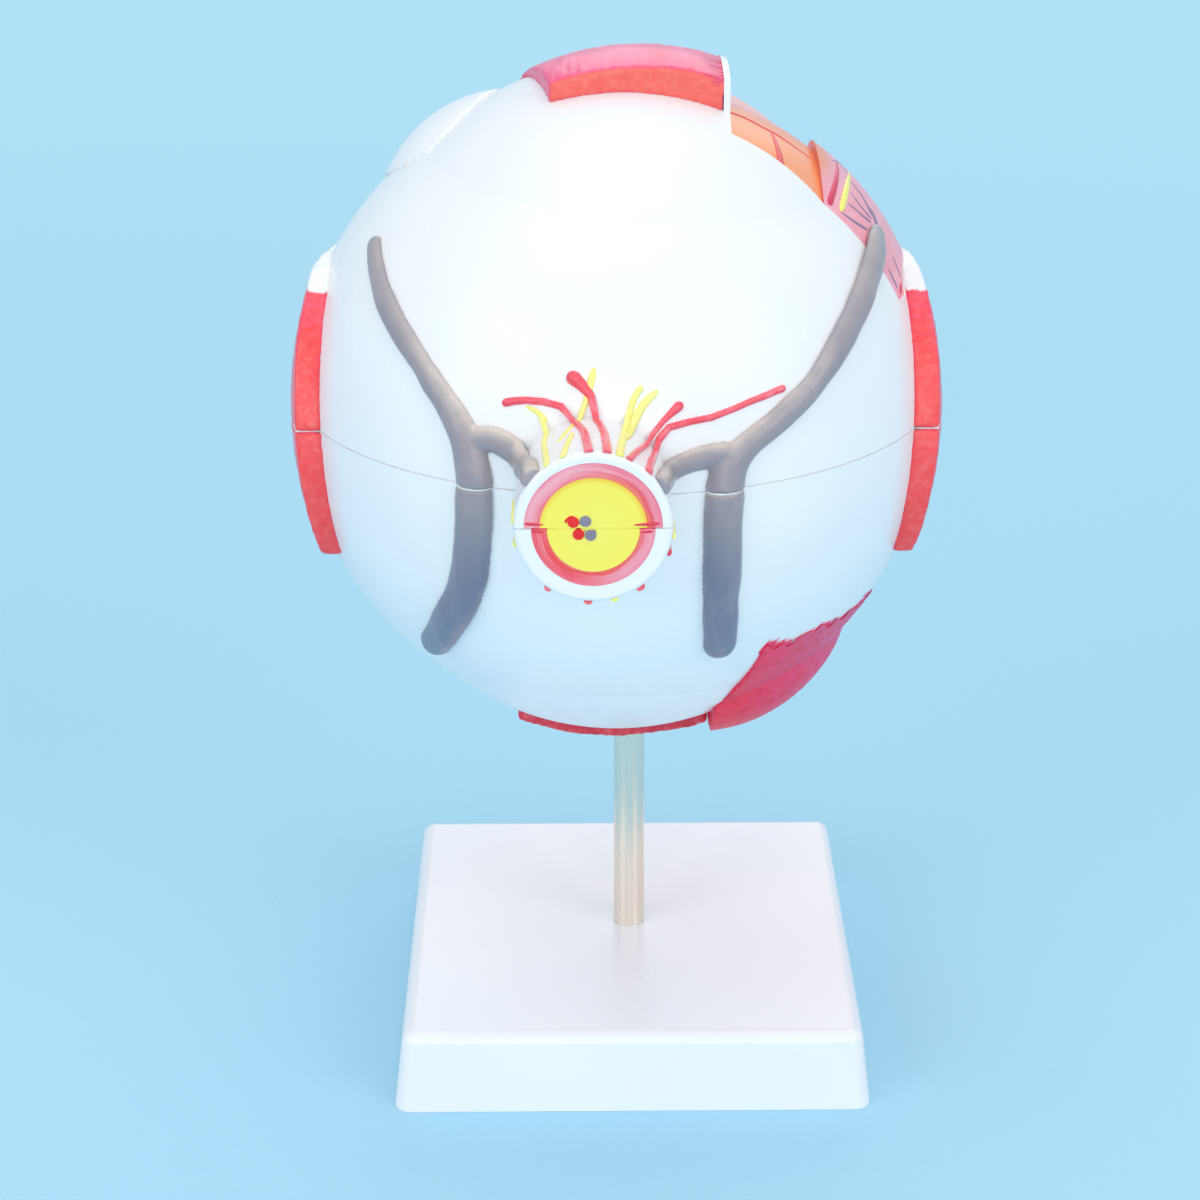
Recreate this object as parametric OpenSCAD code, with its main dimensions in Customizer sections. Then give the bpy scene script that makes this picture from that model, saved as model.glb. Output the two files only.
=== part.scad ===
// Eye anatomy model: an enlarged right eye that comes apart in shells, standing
// on a steel rod and a square white base. Seen from behind, the nasal side is at
// the left (-X) and the temporal side at the right (+X); the cornea faces +Y.
// Origin: centre of the base's underside, on the rod's axis. Millimetres.

/* [Base] */
// Width of the square base at its foot
base_w = 120; // [110:1:150]
// Height of the base
base_h = 21; // [18:0.5:28]
// How far each side leans in towards the top
base_lean = 2; // [0.5:0.5:5]
// Wall of the hollow base
base_wall = 2.5; // [1.8:0.1:3.5]
// Radius of the upright corners at the foot
base_corner = 4; // [3:0.5:8]
// Radius of the rounded edge round the top
base_edge = 3.5; // [2:0.5:5]
// Thickness of the stiffening ribs
base_rib = 2; // [1.5:0.1:3]
// Radius of the socket tube that holds the rod
socket_r = 9; // [8:0.5:14]

/* [Rod] */
// Radius of the steel rod
rod_r = 4; // [3:0.25:5]
// Height of the rod's upper end above the table
rod_top = 91.7; // [80:0.1:110]
// Height of the rod's lower end above the table
rod_foot = 6; // [5:0.5:8]
// Bevel round the rod's ends
rod_bevel = 0.6; // [0.2:0.1:1]
// Radius of the screw that holds the rod from below
screw_r = 2.5; // [2:0.25:2.75]
// Radius of the screw's head
screw_head_r = 4.2; // [3.5:0.1:5]
// Height of the screw's head
screw_head_h = 2.4; // [1.5:0.1:2.8]
// Length of the screw inside the rod
screw_reach = 12; // [8:1:16]
// Outer radius of the washer
washer_r = 5.5; // [5:0.1:7]
// Thickness of the washer
washer_t = 1; // [0.5:0.1:1.2]

/* [Globe] */
// Radius of the white outer shell, the sclera
sclera_r = 78.5; // [76:0.5:82]
// Wall of the sclera
sclera_t = 3.5; // [3:0.1:4]
// Sideways offset of the globe from the rod
globe_x = -3.5; // [-6:0.5:0]
// Height of the parting plane over the globe's centre
parting_z = 5; // [0:0.5:6]
// Gap left between the two halves where they part
parting_gap = 0.3; // [0.2:0.05:0.5]
// Radius of the collar under the globe
collar_r = 5.8; // [5.5:0.1:8]
// How far the collar reaches below the sclera
collar_drop = 10.5; // [9:0.5:16]
// Floor left over the rod's bore, inside the shell
bore_floor = 1; // [0.6:0.1:2]
// Radius of the pins that line the halves up
pin_r = 0.9; // [0.7:0.05:1]
// How far each pin reaches into either half
pin_reach = 3; // [2:0.5:5]
// Angles of the pins round the globe, from the temporal side
pin_angles = [38, 142, 214, 326];

/* [Optic nerve] */
// Radius of the nerve's white sheath
sheath_r = 17.3; // [16.5:0.1:19]
// Distance of the nerve's cut end behind the globe's centre
nerve_reach = 98; // [94:0.5:104]
// Sideways place of the nerve's axis on the globe
nerve_x = -6; // [-8:0.5:-4]
// Rounding of the sheath's cut edge
sheath_edge = 1.2; // [0.5:0.1:1.5]
// Depth of the coloured rings and core in the cut end
inlay_depth = 4; // [2:0.5:6]
// Outer radius of the red ring in the upper half
ring_r_upper = 15; // [13:0.1:15.5]
// Radius of the yellow core in the upper half
core_r_upper = 11.6; // [10:0.1:12.5]
// Outer radius of the red ring in the lower half
ring_r_lower = 13.4; // [12:0.1:15.5]
// Radius of the yellow core in the lower half
core_r_lower = 10; // [9:0.1:11.5]
// Radius of the artery and vein in the middle of the nerve
central_r = 1.25; // [0.8:0.05:1.4]

/* [Cornea, iris and lens] */
// Radius of the cornea's foot
cornea_foot_r = 37; // [35:0.5:39]
// Radius of the cornea's dome
cornea_dome_r = 50; // [46:0.5:55]
// Wall of the cornea
cornea_t = 1.6; // [1.2:0.1:2.2]
// Width of the ledge that the cornea stands on
cornea_ledge = 3.5; // [3:0.1:4.5]
// Radius of the pupil
pupil_r = 13; // [9:0.5:18]
// Outer radius of the iris
iris_r = 46; // [42:0.5:47]
// Thickness of the iris
iris_t = 1.6; // [1:0.1:2]
// Distance of the iris's outer edge behind the cornea's foot
iris_back = 14.7; // [14.3:0.1:16]
// How far the pupil's edge stands in front of the outer edge
iris_rise = 3; // [1:0.5:4]
// Radius of the lens
lens_r = 29.5; // [27:0.5:30]
// Radius of curvature of the lens's front
lens_front_r = 65; // [55:1:80]
// Radius of curvature of the lens's back
lens_back_r = 39; // [36:0.5:45]
// Distance of the lens's rim behind the cornea's foot
lens_back = 22.2; // [21.5:0.1:23]

/* [Inner shells] */
// Clearance between one shell and the next
shell_gap = 0.6; // [0.5:0.05:1]
// Wall of the choroid
choroid_t = 2; // [1.5:0.1:2.5]
// Wall of the retina that lines it
retina_t = 1; // [0.8:0.1:1.5]
// Distance of the retina's front edge behind the cornea's foot
retina_back = 33.2; // [27:0.2:39]
// Distance of the ciliary body's front face behind the cornea's foot
ciliary_back = 16.2; // [15.6:0.1:17]
// Thickness of the ciliary body
ciliary_t = 6.5; // [5:0.5:7]
// Inner radius of the ciliary processes
ciliary_r = 32; // [31:0.5:34]
// Depth of the notches between the processes
process_depth = 4; // [2:0.5:6]
// Number of processes round the ring
process_count = 36; // [24:4:60]

/* [Muscles] */
// Thickness of the side muscles at their cut ends
side_muscle_t = 5.5; // [4:0.5:7]
// Thickness of the side muscles towards their insertions
side_muscle_skin = 1.2; // [0.8:0.1:2]
// Half the width of the side muscles
side_muscle_half = 33; // [28:1:36]
// Radius of the rounded cut end of the side muscles
side_muscle_end_r = 50; // [40:1:60]
// How far the side muscles reach back from the globe's centre
side_muscle_back = 37; // [30:1:42]
// How far forward of the globe's centre the upper and lower muscles reach
muscle_front = 34; // [28:1:40]
// Height of the white foot below the upper muscle
upper_foot_h = 5.2; // [3:0.2:6]
// Height of the upper muscle's back over the sclera
upper_muscle_h = 11.4; // [9:0.2:12]
// Distance of the upper muscle's cut end behind the globe's centre
upper_muscle_back = 18.5; // [14:0.5:24]
// Nasal and temporal sides of the upper muscle
upper_muscle_x = [-15.5, 24.8];
// How much further the upper muscle reaches to the nasal side at its insertion
upper_muscle_flare = 10.5; // [4:0.5:14]
// Height of the white foot over the lower muscle
lower_foot_h = 3; // [2:0.5:5]
// Height of the lower muscle's back over the sclera
lower_muscle_h = 7.5; // [6:0.5:10]
// Distance of the lower muscle's cut end behind the globe's centre
lower_muscle_back = 16; // [12:0.5:22]
// Nasal and temporal sides of the lower muscle
lower_muscle_x = [-25, 23];
// Thickness of the oblique muscle's thin frayed end
oblique_end_t = 1.2; // [0.8:0.1:2]
// Greatest height of the oblique muscle over the sclera
oblique_h = 9.2; // [7:0.1:10]
// Height of the oblique muscle's frayed edge over the globe's centre
oblique_z = -41; // [-50:1:-36]
// Angle from straight behind at which the oblique muscle's side edge lies
oblique_turn = 30.6; // [26:0.2:36]
// How far forward of the globe's centre the oblique muscle reaches
oblique_front = 14; // [5:1:25]
// Height of the upper oblique muscle's tendon over the sclera
tendon_h = 4.6; // [3:0.1:5]
// Angle from the tendon's middle at which it meets the sclera
tendon_spread = 16; // [14:1:20]
// Rear and front edges of the tendon
tendon_y = [-8, 30];
// Number of strands along the oblique muscle's frayed end
fray_count = 16; // [8:1:24]
// Depth of the fraying
fray_depth = 3.5; // [1:0.5:5]

/* [Window] */
// Nasal side of the window cut in the sclera
window_x = 26.3; // [26:0.1:32]
// Rear edge of the window
window_back = 25.5; // [20:0.5:30]
// Front edge of the window
window_front = 28; // [20:1:40]
// Lower end of the window over the globe's centre
window_z = 33; // [30:0.5:40]
// Where the orange choroid meets the pink field of veins
window_split_x = 48; // [44:0.5:54]
// How far the choroid lies below the sclera's surface
window_sink = 0.6; // [0.2:0.1:1.5]
// How far the pink field stands out of it
window_swell = 1.6; // [0.5:0.1:2.5]

/* [Vessels] */
// Height of a moulded vessel as a share of its half width
vessel_rise = 0.75; // [0.5:0.05:1]
// Half width of the vortex veins on the back of the globe
vein_half = 4.7; // [3.5:0.1:5]
// Half width of the thin ciliary arteries
artery_half = 0.95; // [0.7:0.05:1.3]
// Half width of the ciliary nerves
ciliary_nerve_half = 0.85; // [0.6:0.05:1.2]

/* [Hidden] */
$fn = 96;
rod_fit = 0.05;
seat_gap = 0.3;
hair = 0.03;
rod_floor = 2;
upper_muscle_toward = [0.245, -0.226, 0.943];
upper_foot_toward = [0.08, -0.03, 1];
lower_muscle_toward = [0, -0.19, -0.98];
tendon_toward = [-0.5, 0.17, 0.85];
side_face_centre = [-0.257, -0.171, 0.053];
big = 200;

globe_z = rod_top + seat_gap + bore_floor - collar_inner_z();
screw_seat = rod_foot - rod_floor;
vein_clearance = 0.08;
half_gap = parting_gap / 2;
cavity_r = sclera_r - sclera_t;
choroid_r = cavity_r - shell_gap;
retina_r = choroid_r - choroid_t;
vitreous_r = retina_r - retina_t - shell_gap;
cornea_y = sqrt(sclera_r * sclera_r - cornea_foot_r * cornea_foot_r);
iris_y = cornea_y - iris_back;
lens_y = cornea_y - lens_back;
retina_edge_y = cornea_y - retina_back;
ciliary_front_y = cornea_y - ciliary_back;
rim_r = sqrt(pow((sclera_r + cavity_r) / 2, 2) - parting_z * parting_z);
process_angle = 360 / process_count;

// Height, from the globe's centre, of the cavity's floor over the rod
function collar_inner_z() = -sqrt(pow(sclera_r - sclera_t, 2) - globe_x * globe_x);

// ---- Places on the outside of the globe, with a vessel's half width there ----
function unit(v) = v / norm(v);
function first3(v) = [v[0], v[1], v[2]];
// Azimuth from straight behind towards the temporal side, and elevation
function on_sclera(az, el, half) =
    [sclera_r * sin(az) * cos(el), -sclera_r * cos(az) * cos(el), sclera_r * sin(el), half];
// Angle round the nerve from the top towards the temporal side, and the
// distance forward from the nerve's cut end
function on_sheath(angle, forward, half) =
    [nerve_x + sheath_r * sin(angle), forward - nerve_reach, parting_z + sheath_r * cos(angle), half];

function from_nerve(p) = [p[0] - nerve_x, 0, p[2] - parting_z];
function over_sclera(p) = norm(p) - sclera_r;
function over_sheath(p) = norm(from_nerve(p)) - sheath_r;
// Moves a point on to the sclera or the sheath, whichever it is nearer to
function settle(p) =
    over_sclera(p) < over_sheath(p)
        ? unit(p) * sclera_r
        : p - unit(from_nerve(p)) * over_sheath(p);
// Direction away from the surface, blended where the sheath meets the sclera
function outward(p) =
    let (a = 1 / pow(abs(over_sclera(p)) + 1, 2), b = 1 / pow(abs(over_sheath(p)) + 1, 2))
    unit(unit(p) * a + unit(from_nerve(p)) * b);

// Smooth curve through control points
function curve_point(p, i, t) =
    let (a = p[max(i - 1, 0)], b = p[i], c = p[i + 1], d = p[min(i + 2, len(p) - 1)])
    0.5 * (2 * b + (c - a) * t + (2 * a - 5 * b + 4 * c - d) * t * t + (3 * b - a - 3 * c + d) * t * t * t);
function smooth_path(p, steps) =
    [for (i = [0:len(p) - 2], k = [0:steps - 1]) curve_point(p, i, k / steps), p[len(p) - 1]];

// One ring of a moulded vessel: an arch of half width w over the surface at p
function vessel_ring(p, along, w, arch) =
    let (n = outward(p), b = unit(cross(along, n)), h = w * vessel_rise)
    concat(
        [for (k = [0:arch]) let (a = 180 * k / arch)
            settle(p + b * w * cos(a)) + n * (h * sin(a) + hair)],
        [for (k = [1:3]) settle(p - b * w * (1 - k / 2)) + n * hair]);

// A vessel moulded on the globe along control points, with rounded ends
module vessel(controls, arch = 6, steps = 3, blunt = false) {
    path = smooth_path(controls, steps);
    last = len(path) - 1;
    spots = [for (p = path) settle(first3(p))];
    along = [for (i = [0:last]) unit(spots[min(i + 1, last)] - spots[max(i - 1, 0)])];
    ends = [30, 58, 80];
    start_ends = blunt ? [] : [for (k = [len(ends) - 1:-1:0]) ends[k]];
    rings = concat(
        [for (e = start_ends)
            vessel_ring(settle(spots[0] - along[0] * path[0][3] * sin(e)), along[0], path[0][3] * cos(e), arch)],
        [for (i = [0:last]) vessel_ring(spots[i], along[i], path[i][3], arch)],
        [for (e = ends)
            vessel_ring(settle(spots[last] + along[last] * path[last][3] * sin(e)), along[last],
                path[last][3] * cos(e), arch)]);
    m = arch + 4;
    sides = [for (i = [0:len(rings) - 2], k = [0:m - 1]) each
        let (a = i * m + k, b = i * m + (k + 1) % m, c = a + m, d = b + m) [[a, b, d], [a, d, c]]];
    foot = [for (k = [1:m - 2]) [0, k + 1, k]];
    tail = (len(rings) - 1) * m;
    tip = [for (k = [1:m - 2]) [tail, tail + k, tail + k + 1]];
    polyhedron([for (r = rings) each r], concat(sides, foot, tip), convexity = 6);
}

// ---- Small helpers ----
module on_globe() {
    translate([globe_x, 0, globe_z]) children();
}

module keep_upper() {
    intersection() {
        children();
        translate([-big, -big, parting_z + half_gap]) cube([2 * big, 2 * big, big]);
    }
}

module keep_lower() {
    intersection() {
        children();
        translate([-big, -big, parting_z - half_gap - big]) cube([2 * big, 2 * big, big]);
    }
}

// Turns a shape that stands on the XY plane to lie along the nerve, end at the back
module along_nerve() {
    translate([nerve_x, 0, parting_z]) rotate([90, 0, 0]) children();
}

// Turns a shape that stands on the XY plane to face forwards
module facing_front() {
    rotate([-90, 0, 0]) children();
}

// A sphere that swells the globe by h towards a direction and meets it again
// fade degrees away from there
module swelling(direction, h, fade, skin = 0) {
    shift = h * (2 * sclera_r + h) / (2 * (h + sclera_r * (1 - cos(fade))));
    translate(unit(direction) * shift) sphere(r = sclera_r + h - shift + skin);
}

// ---- Base, rod and fastening ----
module base_block(inset, top, corner, edge) {
    foot = base_w / 2 - inset - corner;
    head = base_w / 2 - inset - base_lean - edge;
    hull() {
        for (turn = [0:90:270]) rotate([0, 0, turn]) {
            translate([foot, foot, 0]) cylinder(r = corner, h = 0.5, $fn = 32);
            translate([head, head, top - edge]) sphere(r = edge, $fn = 32);
        }
    }
}

module base() {
    rib_h = base_h - base_wall;
    rib_l = base_w - 2 * base_wall - base_lean;
    color("#f4f4f8") difference() {
        union() {
            difference() {
                base_block(0, base_h, base_corner, base_edge);
                translate([0, 0, -0.5])
                    base_block(base_wall, base_h - base_wall + 0.5, base_corner - 1.5, base_edge - 1.5);
            }
            for (turn = [0, 90]) rotate([0, 0, turn])
                translate([-rib_l / 2, -base_rib / 2, 0]) cube([rib_l, base_rib, rib_h + 0.5]);
            cylinder(r = socket_r, h = rib_h + 0.5);
        }
        translate([0, 0, rod_foot]) cylinder(r = rod_r + rod_fit, h = base_h);
        translate([0, 0, -1]) cylinder(r = washer_r + 0.5, h = screw_seat + 1);
        translate([0, 0, -1]) cylinder(r = screw_r + 0.3, h = base_h);
    }
}

module rod() {
    profile = [
        [screw_r + rod_fit, rod_foot],
        [rod_r - rod_bevel, rod_foot],
        [rod_r, rod_foot + rod_bevel],
        [rod_r, rod_top - rod_bevel],
        [rod_r - rod_bevel, rod_top],
        [0, rod_top],
        [0, rod_foot + screw_reach + 2],
        [screw_r + rod_fit, rod_foot + screw_reach + 1]
    ];
    color("#c9c6bd") rotate_extrude() polygon(profile);
}

module rod_screw() {
    head_z = screw_seat - washer_t - screw_head_h;
    slot = [screw_head_r * 1.2, 1, 1 + screw_head_h / 2];
    color("#8f9096") difference() {
        translate([0, 0, head_z]) {
            cylinder(r = screw_r, h = rod_foot + screw_reach - head_z);
            cylinder(r = screw_head_r, h = screw_head_h);
        }
        for (turn = [0, 90]) rotate([0, 0, turn])
            translate([-slot[0] / 2, -slot[1] / 2, head_z - 1]) cube(slot);
    }
}

module rod_washer() {
    color("#b9babf") translate([0, 0, screw_seat - washer_t]) difference() {
        cylinder(r = washer_r, h = washer_t);
        translate([0, 0, -1]) cylinder(r = screw_r + 0.2, h = washer_t + 2);
    }
}

// ---- Outer shell ----
module nerve_sheath() {
    along_nerve() rotate_extrude() {
        square([sheath_r, nerve_reach - sheath_edge]);
        square([sheath_r - sheath_edge, nerve_reach]);
        translate([sheath_r - sheath_edge, nerve_reach - sheath_edge]) circle(r = sheath_edge, $fn = 32);
    }
}

// The recess in the nerve's cut end for the ring and the core
module nerve_recess(ring_r) {
    along_nerve() translate([0, 0, nerve_reach - inlay_depth]) cylinder(r = ring_r, h = inlay_depth + 1);
}

module locating_holes(r, reach) {
    for (a = pin_angles)
        translate([rim_r * cos(a), rim_r * sin(a), parting_z - reach]) cylinder(r = r, h = 2 * reach, $fn = 32);
}

// Everything inside the sclera, its front opening and the flat face in front
module sclera_hollow(front_y) {
    sphere(r = cavity_r);
    facing_front() cylinder(r = cornea_foot_r - cornea_ledge, h = big);
    translate([-big / 2, front_y, -big / 2]) cube(big);
}

module window_block() {
    difference() {
        translate([window_x, -window_back, window_z]) cube([big, window_back + window_front, big]);
        rotate([90, 0, 90]) linear_extrude(height = 2 * big) side_muscle_outline();
    }
}

// The white rise in the shell that the upper muscle lies on
module upper_foot() {
    swelling(upper_foot_toward, upper_foot_h, 39);
}

// The thin white wall along the upper muscle's temporal side
module upper_cheek() {
    intersection() {
        swelling(upper_muscle_toward, upper_muscle_h, 50);
        translate([upper_muscle_x[1], -upper_muscle_back, 0])
            cube([window_x - upper_muscle_x[1], upper_muscle_back + muscle_front, big]);
    }
}

// The upper muscle seen from above: wider towards its insertion in front
module upper_muscle_plan() {
    polygon([
        [upper_muscle_x[0], -upper_muscle_back],
        [upper_muscle_x[1], -upper_muscle_back],
        [upper_muscle_x[1], muscle_front],
        [upper_muscle_x[0] - upper_muscle_flare, muscle_front]
    ]);
}

// The white rise that the lower muscle lies on
module lower_foot() {
    swelling(lower_muscle_toward, lower_foot_h, 35);
}

module upper_sclera() {
    color("#fbfbfd") on_globe() keep_upper() difference() {
        union() {
            sphere(r = sclera_r);
            nerve_sheath();
            upper_foot();
            upper_cheek();
        }
        sclera_hollow(cornea_y);
        window_block();
        nerve_recess(ring_r_upper);
        locating_holes(pin_r + rod_fit, pin_reach + seat_gap);
    }
}

module lower_sclera() {
    color("#fbfbfd") on_globe() keep_lower() difference() {
        union() {
            sphere(r = sclera_r);
            nerve_sheath();
            lower_foot();
            translate([-globe_x, 0, -sclera_r - collar_drop]) cylinder(r = collar_r, h = collar_drop + sclera_t);
        }
        sclera_hollow(cornea_y - seat_gap);
        nerve_recess(ring_r_lower);
        locating_holes(pin_r, pin_reach);
        translate([-globe_x, 0, -big - globe_z + rod_top + seat_gap]) cylinder(r = rod_r + rod_fit, h = big);
    }
}

module locating_pins() {
    color("#d9d9dd") on_globe() locating_holes(pin_r - hair, pin_reach - hair);
}

// ---- Window in the upper shell ----
module window_layer() {
    intersection() {
        difference() {
            children();
            sphere(r = cavity_r);
        }
        window_block();
    }
}

module window_choroid() {
    color("#ffa468") on_globe() intersection() {
        window_layer() sphere(r = sclera_r - window_sink);
        translate([-big + window_split_x, -big / 2, 0]) cube(big);
    }
}

// The swollen outer face of the pink field, moved out by the given distance
module window_field_face(out) {
    swelling([0.72, 0.1, 0.69], window_swell, 25.6, out - window_sink / 4);
}

module window_vein_field() {
    color("#fba3b0") on_globe() intersection() {
        window_layer() window_field_face(0);
        translate([window_split_x, -big / 2, 0]) cube(big);
    }
}

// ---- Optic nerve ----
module nerve_ring(ring_r, core_r) {
    along_nerve() translate([0, 0, nerve_reach - inlay_depth]) difference() {
        cylinder(r = ring_r, h = inlay_depth);
        translate([0, 0, -1]) cylinder(r = core_r, h = inlay_depth + 2);
    }
}

module nerve_core(core_r, spots) {
    along_nerve() translate([0, 0, nerve_reach - inlay_depth]) difference() {
        cylinder(r = core_r, h = inlay_depth);
        for (s = spots) translate([s[0], s[1], inlay_depth / 2]) cylinder(r = central_r, h = inlay_depth, $fn = 32);
    }
}

module central_vessel(spot) {
    along_nerve() translate([spot[0], spot[1], nerve_reach - inlay_depth / 2])
        cylinder(r = central_r, h = inlay_depth / 2 + 0.2, $fn = 32);
}

// Places of the artery and the vein in each half, across and up from the axis
artery_spot_upper = [-4.3, 1.5];
vein_spot_upper = [-1.7, 1.7];
artery_spot_lower = [-3.2, -1.3];
vein_spot_lower = [-0.6, -1.5];

module optic_nerve_upper() {
    color("#fff85a") on_globe() keep_upper() nerve_core(core_r_upper, [artery_spot_upper, vein_spot_upper]);
}
module optic_nerve_lower() {
    color("#fff85a") on_globe() keep_lower() nerve_core(core_r_lower, [artery_spot_lower, vein_spot_lower]);
}
module nerve_ring_upper() {
    color("#f87f8c") on_globe() keep_upper() nerve_ring(ring_r_upper, core_r_upper);
}
module nerve_ring_lower() {
    color("#f4606c") on_globe() keep_lower() nerve_ring(ring_r_lower, core_r_lower);
}
module central_artery_upper() {
    color("#f02020") on_globe() keep_upper() central_vessel(artery_spot_upper);
}
module central_artery_lower() {
    color("#f02020") on_globe() keep_lower() central_vessel(artery_spot_lower);
}
module central_vein_upper() {
    color("#8b8796") on_globe() keep_upper() central_vessel(vein_spot_upper);
}
module central_vein_lower() {
    color("#8b8796") on_globe() keep_lower() central_vessel(vein_spot_lower);
}

// ---- Muscles ----
// Flattened outer face of the side muscles: a ball larger than the globe, centred
// on its other side, that passes the cut end's outer edge at the parting
module side_muscle_face(side) {
    middle = side_face_centre * sclera_r;
    outer = sclera_r + side_muscle_t;
    edge = [sqrt(outer * outer - side_muscle_back * side_muscle_back), -side_muscle_back, 0];
    translate([side * middle[0], middle[1], middle[2]]) sphere(r = norm(edge - middle));
}

// One side muscle: thick at its rounded cut end at the back, a thin band in front
module side_muscle(side) {
    difference() {
        intersection() {
            union() {
                side_muscle_face(side);
                sphere(r = sclera_r + side_muscle_skin);
            }
            translate([side > 0 ? 0 : -big, 0, 0]) rotate([90, 0, 90])
                linear_extrude(height = big) side_muscle_outline();
        }
        sphere(r = sclera_r + hair);
    }
}

// The side muscle seen from the side: a round cut end behind, narrower in front
module side_muscle_outline() {
    front = cornea_y - 12;
    half_front = side_muscle_half * 0.8;
    middle = [side_muscle_end_r - side_muscle_back, -parting_z];
    intersection() {
        polygon([
            [-sclera_r, parting_z - side_muscle_half],
            [0, parting_z - side_muscle_half],
            [front, parting_z - half_front],
            [front, parting_z + half_front],
            [0, parting_z + side_muscle_half],
            [-sclera_r, parting_z + side_muscle_half]
        ]);
        union() {
            translate(middle) circle(r = side_muscle_end_r);
            translate([middle[0], -sclera_r]) square([sclera_r, 2 * sclera_r]);
        }
    }
}

module medial_rectus_upper() {
    color("#f2565c") on_globe() keep_upper() side_muscle(-1);
}
module medial_rectus_lower() {
    color("#f2565c") on_globe() keep_lower() side_muscle(-1);
}
module lateral_rectus_upper() {
    color("#f2565c") on_globe() keep_upper() side_muscle(1);
}
module lateral_rectus_lower() {
    color("#f2565c") on_globe() keep_lower() side_muscle(1);
}

module superior_rectus() {
    color("#f6595f") on_globe() difference() {
        intersection() {
            swelling(upper_muscle_toward, upper_muscle_h, 50);
            linear_extrude(height = big) upper_muscle_plan();
        }
        upper_foot();
        sphere(r = sclera_r + hair);
    }
}

module inferior_rectus() {
    color("#e8434b") on_globe() difference() {
        intersection() {
            swelling(lower_muscle_toward, lower_muscle_h, 55);
            translate([lower_muscle_x[0], -lower_muscle_back, -big])
                cube([lower_muscle_x[1] - lower_muscle_x[0], lower_muscle_back + muscle_front, big]);
        }
        lower_foot();
        sphere(r = sclera_r + hair);
        translate([-globe_x, 0, -big]) cylinder(r = collar_r + hair, h = big);
    }
}

// Outline of the oblique muscle seen from behind: frayed along its upper edge
module oblique_outline() {
    left = lower_muscle_x[1] + seat_gap;
    right = sclera_r;
    pitch = (right - left) / fray_count;
    strands = [for (i = [0:fray_count - 1]) each [
        [left + pitch * i, oblique_z - fray_depth * (0.55 + 0.45 * sin(i * 97))],
        [left + pitch * (i + 0.5), oblique_z + fray_depth * 0.3 * sin(i * 61)]
    ]];
    polygon(concat(strands, [[right, oblique_z], [right, -big], [left, -big]]));
}

module inferior_oblique() {
    color("#d8303c") on_globe() difference() {
        intersection() {
            union() {
                sphere(r = sclera_r + oblique_end_t);
                swelling([0.4, -0.15, -0.9], oblique_h, 24.7);
            }
            translate([0, oblique_front, 0]) rotate([90, 0, 0]) linear_extrude(height = big) oblique_outline();
            rotate([0, 0, oblique_turn]) translate([0, -big, -big]) cube([big, 2 * big, big]);
        }
        sphere(r = sclera_r + hair);
        lower_foot();
    }
}

// The white tendon of the upper oblique muscle, where it runs under the upper muscle
module superior_oblique_tendon() {
    color("#f7f7fa") on_globe() difference() {
        intersection() {
            swelling(tendon_toward, tendon_h, tendon_spread);
            translate([-big, tendon_y[0], 0]) cube([big, tendon_y[1] - tendon_y[0], big]);
        }
        sphere(r = sclera_r + hair);
        upper_foot();
        linear_extrude(height = big) upper_muscle_plan();
    }
}

// ---- Veins, arteries and nerves moulded on the shell ----
nasal_vein = [
    on_sclera(-64.5, 37.7, vein_half * 0.47), on_sclera(-56, 32.8, vein_half * 0.58),
    on_sclera(-48, 28.3, vein_half * 0.62), on_sclera(-40.5, 23.9, vein_half * 0.62),
    on_sclera(-33.4, 18.7, vein_half * 0.64), on_sclera(-27.7, 13.2, vein_half * 0.78),
    on_sclera(-24.8, 7, vein_half * 0.96), on_sclera(-24.4, 1.4, vein_half),
    on_sclera(-25.2, -8, vein_half), on_sclera(-27.5, -15.7, vein_half),
    on_sclera(-31.4, -22, vein_half * 0.98), on_sclera(-36.5, -28.5, vein_half * 0.92),
    on_sclera(-41.5, -33.5, vein_half * 0.85)
];
nasal_branch = [
    on_sheath(-49, 0.4, vein_half * 0.58), on_sheath(-53, 8, vein_half * 0.62),
    on_sheath(-62, 17, vein_half * 0.64), on_sclera(-20.5, 11.7, vein_half * 0.66),
    on_sclera(-25, 11, vein_half * 0.7)
];
temporal_vein = [
    on_sclera(74, 36.6, vein_half * 0.47), on_sclera(65, 33.6, vein_half * 0.56),
    on_sclera(56, 30.2, vein_half * 0.62), on_sclera(46, 24.8, vein_half * 0.64),
    on_sclera(36.3, 18.6, vein_half * 0.64), on_sclera(28.3, 14.2, vein_half * 0.64),
    on_sclera(21.6, 10.6, vein_half * 0.7), on_sclera(17.8, 6.5, vein_half * 0.94),
    on_sclera(17.1, 0, vein_half), on_sclera(17.2, -8, vein_half),
    on_sclera(17.8, -17, vein_half * 0.95), on_sclera(19.4, -28, vein_half * 0.86)
];
temporal_branch = [
    on_sheath(57, 0.4, vein_half * 0.52), on_sheath(62, 8, vein_half * 0.56),
    on_sheath(71, 17, vein_half * 0.58), on_sclera(11.8, 9, vein_half * 0.6),
    on_sclera(17.5, 9.6, vein_half * 0.66)
];

module nasal_vein_whole() {
    vessel(nasal_vein, 8, 4);
    vessel(nasal_branch, 8, 4, true);
}
module temporal_vein_whole() {
    vessel(temporal_vein, 8, 4);
    vessel(temporal_branch, 8, 4, true);
}

module nasal_vein_upper() {
    color("#99959f") on_globe() keep_upper() nasal_vein_whole();
}
module nasal_vein_lower() {
    color("#8b8894") on_globe() keep_lower() nasal_vein_whole();
}
module temporal_vein_upper() {
    color("#99959f") on_globe() difference() {
        keep_upper() temporal_vein_whole();
        intersection() {
            window_field_face(vein_clearance);
            window_block();
        }
    }
}
module temporal_vein_lower() {
    color("#8b8894") on_globe() keep_lower() temporal_vein_whole();
}

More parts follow.
